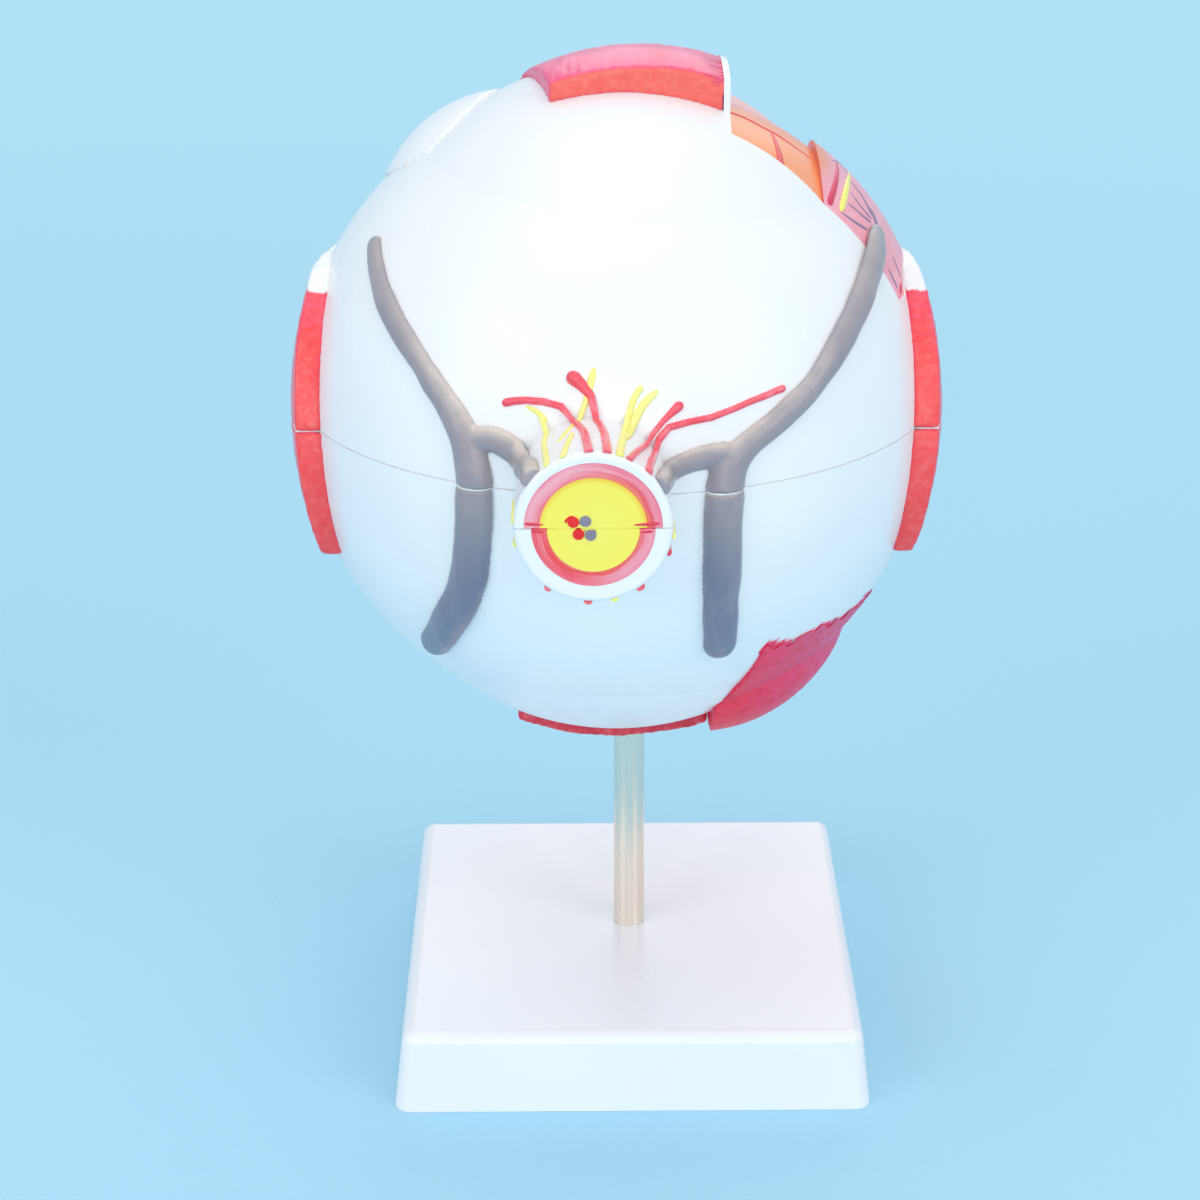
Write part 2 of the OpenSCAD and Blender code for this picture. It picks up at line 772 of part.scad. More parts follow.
upper_arteries = let (w = artery_half) [
    [on_sheath(-3, 0.4, w * 1.2), on_sheath(-5, 9, w * 1.1), on_sheath(-9, 17, w), on_sclera(-10, 18, w),
        on_sclera(-15.9, 18.6, w), on_sclera(-19.6, 17.9, w * 1.15)],
    [on_sheath(10, 0.4, w * 1.2), on_sheath(9, 9, w * 1.1), on_sheath(6, 17, w), on_sclera(-4.9, 19.8, w * 1.1),
        on_sclera(-8, 22.6, w * 1.85)],
    [on_sheath(26, 0.4, w), on_sheath(34, 9, w * 0.9), on_sheath(43, 18, w * 0.8), on_sclera(7.4, 15.8, w * 0.8),
        on_sclera(10, 17.9, w * 1.3)],
    [on_sheath(43, 0.4, w * 1.1), on_sheath(46.5, 9, w * 1.05), on_sheath(52, 18, w), on_sclera(8.2, 14.6, w),
        on_sclera(15.5, 15.7, w * 0.9), on_sclera(22.5, 17.4, w * 0.9), on_sclera(29.2, 18.7, w)]
];
upper_ciliary_nerves = let (w = ciliary_nerve_half) [
    [on_sheath(-35, 0.4, w), on_sheath(-36, 9, w), on_sheath(-38, 17, w), on_sclera(-13.4, 16.4, w * 0.9)],
    [on_sheath(-22, 0.4, w), on_sheath(-19, 7, w * 0.9), on_sheath(-15, 13, w * 0.8)],
    [on_sheath(19, 0.4, w * 1.2), on_sheath(21, 9, w * 1.1), on_sheath(24, 18, w), on_sclera(2.2, 19, w),
        on_sclera(3.5, 21, w)],
    [on_sheath(-86, 0.4, w * 0.8), on_sheath(-83, 6, w * 0.8), on_sheath(-84, 12, w * 0.7)]
];
lower_arteries = let (w = artery_half) [
    [on_sheath(-145, 0.4, w), on_sheath(-144, 9, w * 0.9), on_sheath(-143, 18, w * 0.8)],
    [on_sheath(-176, 0.4, w * 1.1), on_sheath(-177, 9, w), on_sheath(-179, 18, w * 0.8)],
    [on_sheath(144, 0.4, w * 1.3), on_sheath(143, 9, w * 1.2), on_sheath(141, 18, w)],
    [on_sheath(110, 0.4, w), on_sheath(111, 9, w * 0.9), on_sheath(113, 18, w * 0.8)]
];
lower_ciliary_nerves = let (w = ciliary_nerve_half) [
    [on_sheath(-103, 0.4, w), on_sheath(-104, 9, w), on_sheath(-107, 18, w * 0.8)],
    [on_sheath(165, 0.4, w * 1.2), on_sheath(164, 9, w), on_sheath(162, 18, w * 0.8)],
    [on_sheath(97, 0.4, w), on_sheath(98, 9, w), on_sheath(100, 18, w * 0.8)]
];

module vessel_group(paths) {
    for (p = paths) vessel(p, 4, 2, true);
}

module ciliary_arteries_upper() {
    color("#f0404a") on_globe() keep_upper() vessel_group(upper_arteries);
}
module ciliary_arteries_lower() {
    color("#e02a4a") on_globe() keep_lower() vessel_group(lower_arteries);
}
module ciliary_nerves_upper() {
    color("#fbff66") on_globe() keep_upper() vessel_group(upper_ciliary_nerves);
}
module ciliary_nerves_lower() {
    color("#fbff66") on_globe() keep_lower() vessel_group(lower_ciliary_nerves);
}

// ---- Cornea ----
module cornea() {
    dome_y = cornea_y - sqrt(cornea_dome_r * cornea_dome_r - cornea_foot_r * cornea_foot_r);
    color([0.85, 0.93, 0.98, 0.4]) on_globe() difference() {
        translate([0, dome_y, 0]) sphere(r = cornea_dome_r);
        translate([0, dome_y, 0]) sphere(r = cornea_dome_r - cornea_t);
        translate([-big / 2, cornea_y - big, -big / 2]) cube(big);
    }
}

// ---- Choroid, retina, ciliary body and iris, each in two halves ----
module choroid_shell() {
    difference() {
        sphere(r = choroid_r);
        sphere(r = retina_r);
        translate([-big / 2, ciliary_front_y, -big / 2]) cube(big);
    }
}

module retina_shell() {
    difference() {
        sphere(r = retina_r);
        sphere(r = retina_r - retina_t);
        translate([-big / 2, retina_edge_y, -big / 2]) cube(big);
    }
}

// A flat ring inside the choroid with notched folds towards the lens
module ciliary_ring() {
    intersection() {
        sphere(r = retina_r);
        facing_front() translate([0, 0, ciliary_front_y - ciliary_t]) linear_extrude(height = ciliary_t)
            difference() {
                circle(r = big / 2);
                circle(r = ciliary_r);
                for (i = [0:process_count - 1]) rotate([0, 0, i * process_angle])
                    polygon([
                        [0, 0],
                        [ciliary_r + process_depth, -0.9],
                        [ciliary_r + process_depth, 0.9]
                    ]);
            }
    }
}

module iris_disc() {
    rim_y = iris_y;
    pupil_y = iris_y + iris_rise;
    facing_front() rotate_extrude() polygon([
        [pupil_r, pupil_y], [iris_r, rim_y], [iris_r, rim_y + iris_t], [pupil_r, pupil_y + iris_t]
    ]);
    // Narrow wall that carries the iris on the ciliary body
    facing_front() translate([0, 0, ciliary_front_y]) difference() {
        cylinder(r = iris_r, h = rim_y - ciliary_front_y + iris_t / 2);
        translate([0, 0, -1]) cylinder(r = iris_r - 3, h = 10);
    }
}

module choroid_upper() {
    color("#c8502f") on_globe() keep_upper() choroid_shell();
}
module choroid_lower() {
    color("#c8502f") on_globe() keep_lower() choroid_shell();
}
module retina_upper() {
    color("#f6b26a") on_globe() keep_upper() retina_shell();
}
module retina_lower() {
    color("#f6b26a") on_globe() keep_lower() retina_shell();
}
module ciliary_body_upper() {
    color("#8a4a3a") on_globe() keep_upper() ciliary_ring();
}
module ciliary_body_lower() {
    color("#8a4a3a") on_globe() keep_lower() ciliary_ring();
}
module iris_upper() {
    color("#4c7fa8") on_globe() keep_upper() iris_disc();
}
module iris_lower() {
    color("#4c7fa8") on_globe() keep_lower() iris_disc();
}

// ---- Lens and vitreous body ----
lens_front_centre = lens_y - sqrt(lens_front_r * lens_front_r - lens_r * lens_r);
lens_back_centre = lens_y + sqrt(lens_back_r * lens_back_r - lens_r * lens_r);

module lens() {
    color([0.92, 0.96, 1, 0.6]) on_globe() intersection() {
        translate([0, lens_front_centre, 0]) sphere(r = lens_front_r);
        translate([0, lens_back_centre, 0]) sphere(r = lens_back_r);
    }
}

module vitreous_body() {
    front_y = ciliary_front_y - ciliary_t - 2;
    color([0.9, 0.95, 1, 0.4]) on_globe() facing_front() rotate_extrude() difference() {
        circle(r = vitreous_r);
        translate([-big, -big / 2]) square(big);
        translate([-big / 2, front_y]) square(big);
        translate([0, lens_back_centre]) circle(r = lens_back_r);
    }
}

base();
rod();
rod_screw();
rod_washer();
lower_sclera();
locating_pins();
medial_rectus_lower();
lateral_rectus_lower();
inferior_rectus();
inferior_oblique();
nasal_vein_lower();
temporal_vein_lower();
ciliary_arteries_lower();
ciliary_nerves_lower();
optic_nerve_lower();
nerve_ring_lower();
central_artery_lower();
central_vein_lower();
choroid_lower();
retina_lower();
ciliary_body_lower();
iris_lower();
vitreous_body();
lens();
choroid_upper();
retina_upper();
ciliary_body_upper();
iris_upper();
upper_sclera();
cornea();
superior_rectus();
medial_rectus_upper();
lateral_rectus_upper();
superior_oblique_tendon();
window_choroid();
window_vein_field();
nasal_vein_upper();
temporal_vein_upper();
ciliary_arteries_upper();
ciliary_nerves_upper();
optic_nerve_upper();
nerve_ring_upper();
central_artery_upper();
central_vein_upper();
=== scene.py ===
# Looks of the eye anatomy model: a hand-painted plastic globe that comes apart in
# shells, on a steel rod and a moulded white base. Metres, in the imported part's frame.
import math

import bmesh
import bpy
from mathutils import Matrix, Quaternion, Vector, noise
from mathutils.bvhtree import BVHTree


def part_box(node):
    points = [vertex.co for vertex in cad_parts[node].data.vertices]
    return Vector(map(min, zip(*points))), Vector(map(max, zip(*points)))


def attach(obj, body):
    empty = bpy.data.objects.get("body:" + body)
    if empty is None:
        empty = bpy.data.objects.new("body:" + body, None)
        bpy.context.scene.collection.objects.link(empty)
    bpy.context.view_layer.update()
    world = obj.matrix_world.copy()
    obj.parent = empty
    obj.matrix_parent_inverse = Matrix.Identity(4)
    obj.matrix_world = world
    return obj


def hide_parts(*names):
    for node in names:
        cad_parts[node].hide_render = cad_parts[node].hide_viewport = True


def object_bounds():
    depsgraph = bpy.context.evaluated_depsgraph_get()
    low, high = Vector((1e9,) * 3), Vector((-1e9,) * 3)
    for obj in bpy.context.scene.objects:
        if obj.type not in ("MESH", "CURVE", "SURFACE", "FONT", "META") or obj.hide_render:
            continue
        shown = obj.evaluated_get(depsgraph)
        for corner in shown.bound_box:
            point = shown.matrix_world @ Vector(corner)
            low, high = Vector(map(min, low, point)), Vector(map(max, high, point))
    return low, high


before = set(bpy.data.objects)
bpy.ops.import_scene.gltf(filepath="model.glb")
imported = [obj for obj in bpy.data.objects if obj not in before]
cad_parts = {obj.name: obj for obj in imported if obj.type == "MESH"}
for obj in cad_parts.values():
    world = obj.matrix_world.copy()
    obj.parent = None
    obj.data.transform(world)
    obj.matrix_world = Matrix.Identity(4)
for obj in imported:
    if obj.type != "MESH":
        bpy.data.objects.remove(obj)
solid_low, solid_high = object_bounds()
scene = bpy.context.scene
scene.view_settings.view_transform = "Standard"

# ---- Studio ----
# The model stands on a wide round table top, covered in pale blue paper that fades into
# the surround. Five soft boxes light it: left, right and near, overhead and behind.
mm = 0.001


def tone(red, green, blue):
    """A colour given as it reads on a screen, 0 to 255, in the shader's own values."""
    parts = [c / 255 for c in (red, green, blue)]
    return (*[c / 12.92 if c < 0.04045 else ((c + 0.055) / 1.055) ** 2.4 for c in parts], 1.0)


def plug(tree, node, values):
    """Sets a shader node's inputs, each to a number, a colour or another node's output."""
    for name, value in values.items():
        if isinstance(value, bpy.types.NodeSocket):
            tree.links.new(value, node.inputs[name])
        else:
            node.inputs[name].default_value = value


def wire(tree, kind, values=None, **settings):
    """Adds a shader node with its settings and its inputs."""
    made = tree.nodes.new(kind)
    for setting, value in settings.items():
        setattr(made, setting, value)
    plug(tree, made, values or {})
    return made


def object_place(tree):
    """The shaded point's place on its piece, in metres."""
    return wire(tree, "ShaderNodeTexCoord").outputs["Object"]


def noise_on(tree, place, scale, detail=2):
    """Soft noise, mostly between 0.3 and 0.7, that changes with the place."""
    values = {"Vector": place, "Scale": scale, "Detail": detail}
    return wire(tree, "ShaderNodeTexNoise", values).outputs["Fac"]


def mix(tree, share, first, second):
    """The first colour, turning into the second as the share goes from 0 to 1."""
    return wire(tree, "ShaderNodeMix", {0: share, 6: first, 7: second}, data_type="RGBA").outputs[2]


def span(tree, value, start=0, end=1, low=0, high=1, smooth=False):
    """Where a value lies between start and end, as a number between low and high."""
    values = {0: value, 1: start, 2: end, 3: low, 4: high}
    curve = "SMOOTHSTEP" if smooth else "LINEAR"
    return wire(tree, "ShaderNodeMapRange", values, interpolation_type=curve).outputs[0]


def reckon(tree, operation, *values):
    """An operation on numbers."""
    return wire(tree, "ShaderNodeMath", dict(enumerate(values)), operation=operation).outputs[0]


def vectors(tree, operation, *values):
    """An operation on vectors. LENGTH and DISTANCE give a number, the others a vector."""
    made = wire(tree, "ShaderNodeVectorMath", dict(enumerate(values)), operation=operation)
    return made.outputs[1 if operation in ("LENGTH", "DISTANCE") else 0]


def new_finish(name):
    """A material, its node tree and its Principled shader."""
    material = bpy.data.materials.new(name)
    material.use_nodes = True
    tree = material.node_tree
    return material, tree, tree.nodes["Principled BSDF"]


pale_blue = tone(178, 226, 248)
table_radius = 6
table_drop = 0.05 * mm
table_shape = bmesh.new()
bmesh.ops.create_circle(table_shape, cap_ends=True, segments=96, radius=table_radius)
bmesh.ops.translate(table_shape, verts=table_shape.verts, vec=(0, 0, -table_drop))
table_mesh = bpy.data.meshes.new("table_top")
table_shape.to_mesh(table_mesh)
table_shape.free()
table_top = bpy.data.objects.new("table_top", table_mesh)
scene.collection.objects.link(table_top)


def seen_directly(tree):
    """1 for rays that show a thing itself: to the camera, in a reflection or through glass."""
    rays = wire(tree, "ShaderNodeLightPath").outputs
    mirrored = reckon(tree, "MAXIMUM", rays["Is Camera Ray"], rays["Is Glossy Ray"])
    return reckon(tree, "MAXIMUM", mirrored, rays["Is Transmission Ray"])


table_paper, tree, finish = new_finish("pale blue paper")
place = object_place(tree)
mottle = noise_on(tree, place, 900, 3)
weave = mix(tree, mottle, pale_blue, tone(168, 219, 244))
plug(tree, finish, {"Base Color": weave, "Roughness": 0.75, "Specular IOR Level": 0.2})
haze_start, haze_end = 0.4, 1.3
far_off = span(tree, vectors(tree, "LENGTH", place), haze_start, haze_end, smooth=True)
veiled = reckon(tree, "MULTIPLY", far_off, seen_directly(tree))
haze = wire(tree, "ShaderNodeEmission", {"Color": pale_blue})
paper = wire(tree, "ShaderNodeMixShader", {0: veiled, 1: finish.outputs[0], 2: haze.outputs[0]})
tree.links.new(paper.outputs[0], tree.nodes["Material Output"].inputs["Surface"])
table_mesh.materials.append(table_paper)

surround = bpy.data.worlds.new("surround")
scene.world = surround
surround.use_nodes = True
tree = surround.node_tree
sky = tree.nodes["Background"]
plug(tree, sky, {"Color": tone(238, 244, 250), "Strength": 0.62})
seen = wire(tree, "ShaderNodeBackground", {"Color": pale_blue, "Strength": 1})
is_seen = seen_directly(tree)
choice = wire(tree, "ShaderNodeMixShader", {0: is_seen, 1: sky.outputs[0], 2: seen.outputs[0]})
tree.links.new(choice.outputs[0], tree.nodes["World Output"].inputs["Surface"])

model_middle = (solid_low + solid_high) / 2
lamp_tint = (1, 0.965, 0.92)
for lamp_name, place, width, watts in (
    ("left_soft_box", (-1.5, -1.35, 1.25), 1.3, 10),
    ("right_soft_box", (1.5, -1.35, 1.25), 1.3, 10),
    ("near_soft_box", (0.0, -2.0, 0.75), 1.3, 9),
    ("top_soft_box", (0.0, 0.1, 1.9), 1.6, 8),
    ("back_soft_box", (0.3, 1.9, 1.3), 1.4, 7),
):
    light = bpy.data.lights.new(lamp_name, "AREA")
    light.size = width
    light.energy = watts
    light.color = lamp_tint
    lamp = bpy.data.objects.new(lamp_name, light)
    lamp.location = place
    lamp.rotation_euler = (model_middle - lamp.location).to_track_quat("-Z", "Y").to_euler()
    scene.collection.objects.link(lamp)

# ---- Camera ----
# Behind the eye and above it, at the photograph's distance and tilt. A pixel of the
# square photograph, 1200 wide, gives a ray on which a painted mark lies.
camera_data = bpy.data.cameras.new("camera")
camera_data.lens = 83.26
camera_data.sensor_width = 36
camera = bpy.data.objects.new("camera", camera_data)
camera.location = Vector((-11.6, -651.8, 393.3)) * mm
camera_aim = Vector((-7.506, 0, 114.287)) * mm
camera_roll = math.radians(-0.173)
camera_turn = (camera_aim - camera.location).to_track_quat("-Z", "Y") @ Quaternion((0, 0, 1), camera_roll)
camera.rotation_euler = camera_turn.to_euler()
scene.collection.objects.link(camera)
scene.camera = camera
photo_size = 1200


def sight(across, down):
    """Direction from the camera through a pixel of the photograph."""
    reach = camera_data.lens / camera_data.sensor_width * photo_size
    return (camera_turn @ Vector((across - photo_size / 2, photo_size / 2 - down, -reach))).normalized()


# ---- Base ----
# The square foot is one hollow moulding in glossy white plastic, with its top edges
# rounded and ribs below. The rod stands in its middle.
def open_group(name, inputs, outputs):
    """A shader group with named inputs, given as kind and value, and named outputs."""
    group = bpy.data.node_groups.new(name, "ShaderNodeTree")
    for label, (kind, value) in inputs.items():
        socket = group.interface.new_socket(name=label, in_out="INPUT", socket_type="NodeSocket" + kind)
        socket.default_value = value
    for label, kind in outputs.items():
        group.interface.new_socket(name=label, in_out="OUTPUT", socket_type="NodeSocket" + kind)
    return group, wire(group, "NodeGroupInput").outputs


moulded_gloss, given = open_group(
    "Moulded gloss",
    {
        "Colour": ("Color", (0.9, 0.9, 0.9, 1)),
        "Shade": ("Color", (0.8, 0.8, 0.8, 1)),
        "Patches": ("Float", 40),
        "Gloss": ("Float", 0.2),
        "Ripple": ("Float", 0.5),
    },
    {"Colour": "Color", "Roughness": "Float", "Height": "Float"},
)
place = object_place(moulded_gloss)
patches = noise_on(moulded_gloss, place, given["Patches"], 2)
patchy = span(moulded_gloss, patches, 0.2, 0.8, smooth=True)
tinted = mix(moulded_gloss, patchy, given["Colour"], given["Shade"])
orange_peel = noise_on(moulded_gloss, place, 420, 2)
dulled = reckon(moulded_gloss, "MULTIPLY_ADD", patches, 0.16, given["Gloss"])
height = reckon(moulded_gloss, "MULTIPLY", orange_peel, given["Ripple"])
wire(moulded_gloss, "NodeGroupOutput", {"Colour": tinted, "Roughness": dulled, "Height": height})


def add_relief(tree, finish, height, depth):
    """Feeds a height, in shares of depth, to the shader as fine relief."""
    bump = wire(tree, "ShaderNodeBump", {"Height": height, "Distance": depth, "Strength": 1.0})
    plug(tree, finish, {"Normal": bump.outputs["Normal"]})


def gloss_plastic(name, colour, shade, patches=40, gloss=0.2, ripple=0.5):
    """Moulded plastic with faint patches of shade and a slight ripple in its gloss."""
    material, tree, finish = new_finish(name)
    values = {"Colour": colour, "Shade": shade, "Patches": patches, "Gloss": gloss, "Ripple": ripple}
    look = wire(tree, "ShaderNodeGroup", values, node_tree=moulded_gloss).outputs
    plug(tree, finish, {"Base Color": look["Colour"], "Roughness": look["Roughness"], "IOR": 1.5})
    add_relief(tree, finish, look["Height"], 0.1 * mm)
    return material


def fit(piece, body, slot, material, *nodes):
    """Gives a finished piece its material and its body, and hides the nodes it stands for. The slot is
    not used.
    """
    piece.data.materials.clear()
    piece.data.materials.append(material)
    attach(piece, body)
    if nodes:
        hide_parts(*nodes)


def add_piece(name, shape):
    """Turns a bmesh into a smooth-shaded object and frees the bmesh."""
    mesh = bpy.data.meshes.new(name)
    shape.to_mesh(mesh)
    shape.free()
    mesh.shade_smooth()
    piece = bpy.data.objects.new(name, mesh)
    scene.collection.objects.link(piece)
    return piece


weld_gap = 0.002 * mm


def merged_copy(*nodes):
    """A bmesh of solid nodes with their loose triangles joined."""
    shape = bmesh.new()
    for node in nodes:
        shape.from_mesh(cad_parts[node].data)
    bmesh.ops.remove_doubles(shape, verts=shape.verts, dist=weld_gap)
    return shape


def crisp_copy(name, node, crease):
    """A copy of a node, shaded smooth but for sharp edges and those round its level faces."""
    piece = add_piece(name, merged_copy(node))
    piece.data.set_sharp_from_angle(angle=math.radians(crease))
    level = {}
    for face in piece.data.polygons:
        for edge in face.edge_keys:
            level.setdefault(edge, []).append(abs(face.normal.z) > 0.9999)
    for edge in piece.data.edges:
        if len(set(level[edge.key])) == 2:
            edge.use_edge_sharp = True
    flats = piece.modifiers.new("Flat faces stay flat", "WEIGHTED_NORMAL")
    flats.keep_sharp = True
    flats.weight = 100
    return piece


base_white = gloss_plastic(
    "base white plastic", tone(248, 248, 252), tone(243, 244, 250), 14, 0.18, 0.35
)
base_crease = 32
fit(crisp_copy("base_moulding", "base", base_crease), "stand", "base_white", base_white, "base")


# ---- Rod ----
# An 8 mm bar of bright drawn steel. Fine draw lines run along it, and it is held from
# below by a screw and a washer of plated steel.
def drawn_metal(name, colour, shade, stretch, gloss):
    """Metal with fine lines drawn out along one direction."""
    material, tree, finish = new_finish(name)
    place = object_place(tree)
    lines = wire(tree, "ShaderNodeMapping", {"Vector": place, "Scale": stretch})
    grain = noise_on(tree, lines.outputs[0], 1, 5)
    look = mix(tree, grain, colour, shade)
    dulled = span(tree, grain, low=gloss, high=gloss + 0.14)
    plug(tree, finish, {"Base Color": look, "Roughness": dulled, "Metallic": 1})
    add_relief(tree, finish, grain, 0.01 * mm)
    return material


def refinish(material, *nodes):
    """Gives solid nodes that stay in view their material."""
    for node in nodes:
        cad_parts[node].material_slots[0].material = material


rod_steel = drawn_metal("drawn steel", tone(253, 240, 224), tone(238, 225, 208), (2600, 2600, 14), 0.2)
refinish(rod_steel, "rod")
plated_steel = drawn_metal(
    "plated steel", tone(196, 197, 203), tone(160, 161, 168), (900, 900, 900), 0.26
)
refinish(plated_steel, "rod_screw", "rod_washer")

# ---- Outer shell ----
# The sclera is moulded in two halves in white plastic, with the nerve's sheath and the
# white feet of the muscles in one piece with it. Four metal pins line the halves up.
shell_white = gloss_plastic(
    "shell white plastic", tone(247, 247, 249), tone(241, 243, 248), 22, 0.2, 0.45
)
refinish(shell_white, "upper_sclera", "lower_sclera")
pin_metal = drawn_metal(
    "bright pin metal", tone(222, 222, 226), tone(190, 190, 196), (800, 800, 60), 0.18
)
refinish(pin_metal, "locating_pins")
vitreous_low, vitreous_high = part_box("vitreous_body")
globe_middle = (vitreous_low + vitreous_high) / 2
globe_middle.y = 0
parting_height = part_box("lower_sclera")[1].z


def surface_of(*nodes):
    """The skin of solid nodes, for finding what lies on it."""
    shape = merged_copy(*nodes)
    skin = BVHTree.FromBMesh(shape)
    shape.free()
    return skin


shell_skin = surface_of("upper_sclera", "lower_sclera")
# The muscles lie on the faces that look outwards, and not on the walls beside them.
outer_faces = merged_copy("upper_sclera", "lower_sclera")
least_outward = 0.75
for face in list(outer_faces.faces):
    outward = (face.calc_center_median() - globe_middle).normalized()
    if face.normal.dot(outward) < least_outward:
        outer_faces.faces.remove(face)
globe_skin = BVHTree.FromBMesh(outer_faces)
outer_faces.free()


def raised_lip(node, material, slot, shrink):
    """A thin lip on a lower node's joint face, which shows as a line between the halves."""
    lip_height = 0.26 * mm
    beside_joint = 0.02 * mm
    shape = merged_copy(node)
    for face in list(shape.faces):
        above = face.calc_center_median().z - parting_height
        if face.normal.z < 0.99 or abs(above) > beside_joint:
            shape.faces.remove(face)
    loose = [vertex for vertex in shape.verts if not vertex.link_faces]
    bmesh.ops.delete(shape, geom=loose, context="VERTS")
    middle = sum((vertex.co for vertex in shape.verts), Vector()) / len(shape.verts)
    for vertex in shape.verts:
        vertex.co = middle.lerp(vertex.co, shrink)
    risen = bmesh.ops.extrude_face_region(shape, geom=shape.faces[:], use_keep_orig=True)
    tops = [part for part in risen["geom"] if isinstance(part, bmesh.types.BMVert)]
    bmesh.ops.translate(shape, verts=tops, vec=(0, 0, lip_height))
    fit(add_piece(f"{node}_lip", shape), "lower_half", slot, material)


for node, shrink in (
    ("lower_sclera", 0.9955),
    ("medial_rectus_lower", 0.985),
    ("lateral_rectus_lower", 0.985),
    ("nasal_vein_lower", 0.93),
    ("temporal_vein_lower", 0.93),
):
    raised_lip(node, shell_white, "sclera_white", shrink)

# ---- Muscles ----
# Six muscles are moulded on the shell in relief and painted red by hand. Brushed fibres
# run forwards along each back, and the cut end behind is stippled with short strokes.
brushed_paint, given = open_group(
    "Brushed paint",
    {
        "Colour": ("Color", (0.8, 0.1, 0.1, 1)),
        "Streak": ("Color", (0.9, 0.3, 0.3, 1)),
        "Dark": ("Color", (0.5, 0.05, 0.05, 1)),
        "Stretch": ("Vector", (100, 100, 100)),
        "Gloss": ("Float", 0.25),
    },
    {"Colour": "Color", "Roughness": "Float", "Height": "Float"},
)
place = object_place(brushed_paint)
drawn = vectors(brushed_paint, "MULTIPLY", place, given["Stretch"])
wavy = {"Vector": drawn, "Scale": 1, "Detail": 6, "Distortion": 0.4}
bristles = wire(brushed_paint, "ShaderNodeTexNoise", wavy).outputs["Fac"]
loads = noise_on(brushed_paint, drawn, 0.31, 3)
streaks = span(brushed_paint, bristles, 0.46, 0.7)
pools = span(brushed_paint, loads, 0.5, 0.72, high=0.75)
streaked = mix(brushed_paint, streaks, given["Colour"], given["Streak"])
painted = mix(brushed_paint, pools, streaked, given["Dark"])
dulled = reckon(brushed_paint, "MULTIPLY_ADD", bristles, 0.2, given["Gloss"])
wire(brushed_paint, "NodeGroupOutput", {"Colour": painted, "Roughness": dulled, "Height": bristles})


def brushed(tree, colour, streak, dark, stretch, gloss=0.22):
    """One coat of hand-brushed paint in a material."""
    values = {"Colour": colour, "Streak": streak, "Dark": dark, "Stretch": stretch, "Gloss": gloss}
    return wire(tree, "ShaderNodeGroup", values, node_tree=brushed_paint).outputs


def axis_of(tree, vector, axis):
    """One part of a vector: X, Y or Z."""
    return wire(tree, "ShaderNodeSeparateXYZ", {0: vector}).outputs[axis]


def muscle_paint(name, back, cut, stretch, bare_above=None):
    """Red paint, with fibres on the back, stipples on the cut end and at will a bare top."""
    material, tree, finish = new_finish(name)
    seat = wire(tree, "ShaderNodeTexCoord").outputs
    facing = axis_of(tree, seat["Normal"], "Y")
    is_cut = span(tree, facing, -0.62, -0.8)
    on_back = brushed(tree, *back, stretch)
    on_cut = brushed(tree, *cut, (620, 420, 620))
    colour = mix(tree, is_cut, on_back["Colour"], on_cut["Colour"])
    height = wire(tree, "ShaderNodeMix", {0: is_cut, 2: on_back["Height"], 3: on_cut["Height"]})
    if bare_above:
        level = axis_of(tree, seat["Object"], "Z")
        drift = noise_on(tree, seat["Object"], 260)
        edge = reckon(tree, "MULTIPLY_ADD", drift, 2.5 * mm, level)
        is_bare = span(tree, edge, bare_above + 1 * mm, bare_above + 1.5 * mm)
        colour = mix(tree, is_bare, colour, tone(247, 247, 249))
    plug(tree, finish, {
        "Base Color": colour,
        "Roughness": on_back["Roughness"],
        "Coat Weight": 0.15,
        "Coat Roughness": 0.12,
        "Specular IOR Level": 0.35,
    })
    add_relief(tree, finish, height.outputs[0], 0.12 * mm)
    return material


def softened(name, grain, rounds, *nodes):
    """A copy of moulded nodes as one skin with its edges rounded."""
    piece = add_piece(name, merged_copy(*nodes))
    skin = piece.modifiers.new("Skin", "REMESH")
    skin.mode = "VOXEL"
    skin.voxel_size = grain
    rounding = piece.modifiers.new("Rounding", "SMOOTH")
    rounding.factor = 0.5
    rounding.iterations = rounds
    bpy.context.view_layer.update()
    ready = bpy.data.meshes.new_from_object(piece.evaluated_get(bpy.context.evaluated_depsgraph_get()))
    piece.modifiers.clear()
    piece.data = ready
    ready.shade_smooth()
    return piece


def sculpt(piece, ground, foot, lump, thinning=None):
    """Adds relief to a softened skin and sinks its foot into what carries it."""
    moved = []
    for vertex in piece.data.vertices:
        spot, out, _, _ = ground.find_nearest(vertex.co)
        rise = (vertex.co - spot).dot(out)
        if rise < foot:
            moved.append(spot - out * foot)
        else:
            fade = min(1, (rise - foot) / (2 * foot))
            lowered = (rise - foot) * (1 - thinning(vertex.co)) if thinning else 0
            moved.append(
                vertex.co - out * lowered + vertex.normal * lump(vertex.co, vertex.normal) * fade
            )
    for vertex, spot in zip(piece.data.vertices, moved):
        vertex.co = spot
    piece.data.update()


def fibres(across, along, depth, wave):
    """Relief of muscle fibres: fine ridges across, drawn out along +Y, over a slow wave."""

    def lump(spot, out):
        ridge = noise.noise(Vector((spot.x / across, spot.y / along, spot.z / across)))
        swell = noise.noise(spot / (9 * mm))
        return depth * ridge + wave * swell

    return lump


side_back = (tone(253, 74, 100), tone(255, 104, 126), tone(246, 60, 86))
side_cut = (tone(255, 82, 84), tone(255, 108, 104), tone(252, 70, 72))
side_grain = (520, 70, 520)
side_skin = surface_of("medial_rectus_upper", "lateral_rectus_upper")


def on_skin(ground, across, down):
    """The point of a surface that a pixel of the photograph shows, or its nearest edge."""
    line = sight(across, down)
    spot = ground.ray_cast(camera.location, line)[0]
    if spot is None:
        beside = camera.location + line * (globe_middle - camera.location).dot(line)
        spot = ground.find_nearest(beside)[0]
    return spot


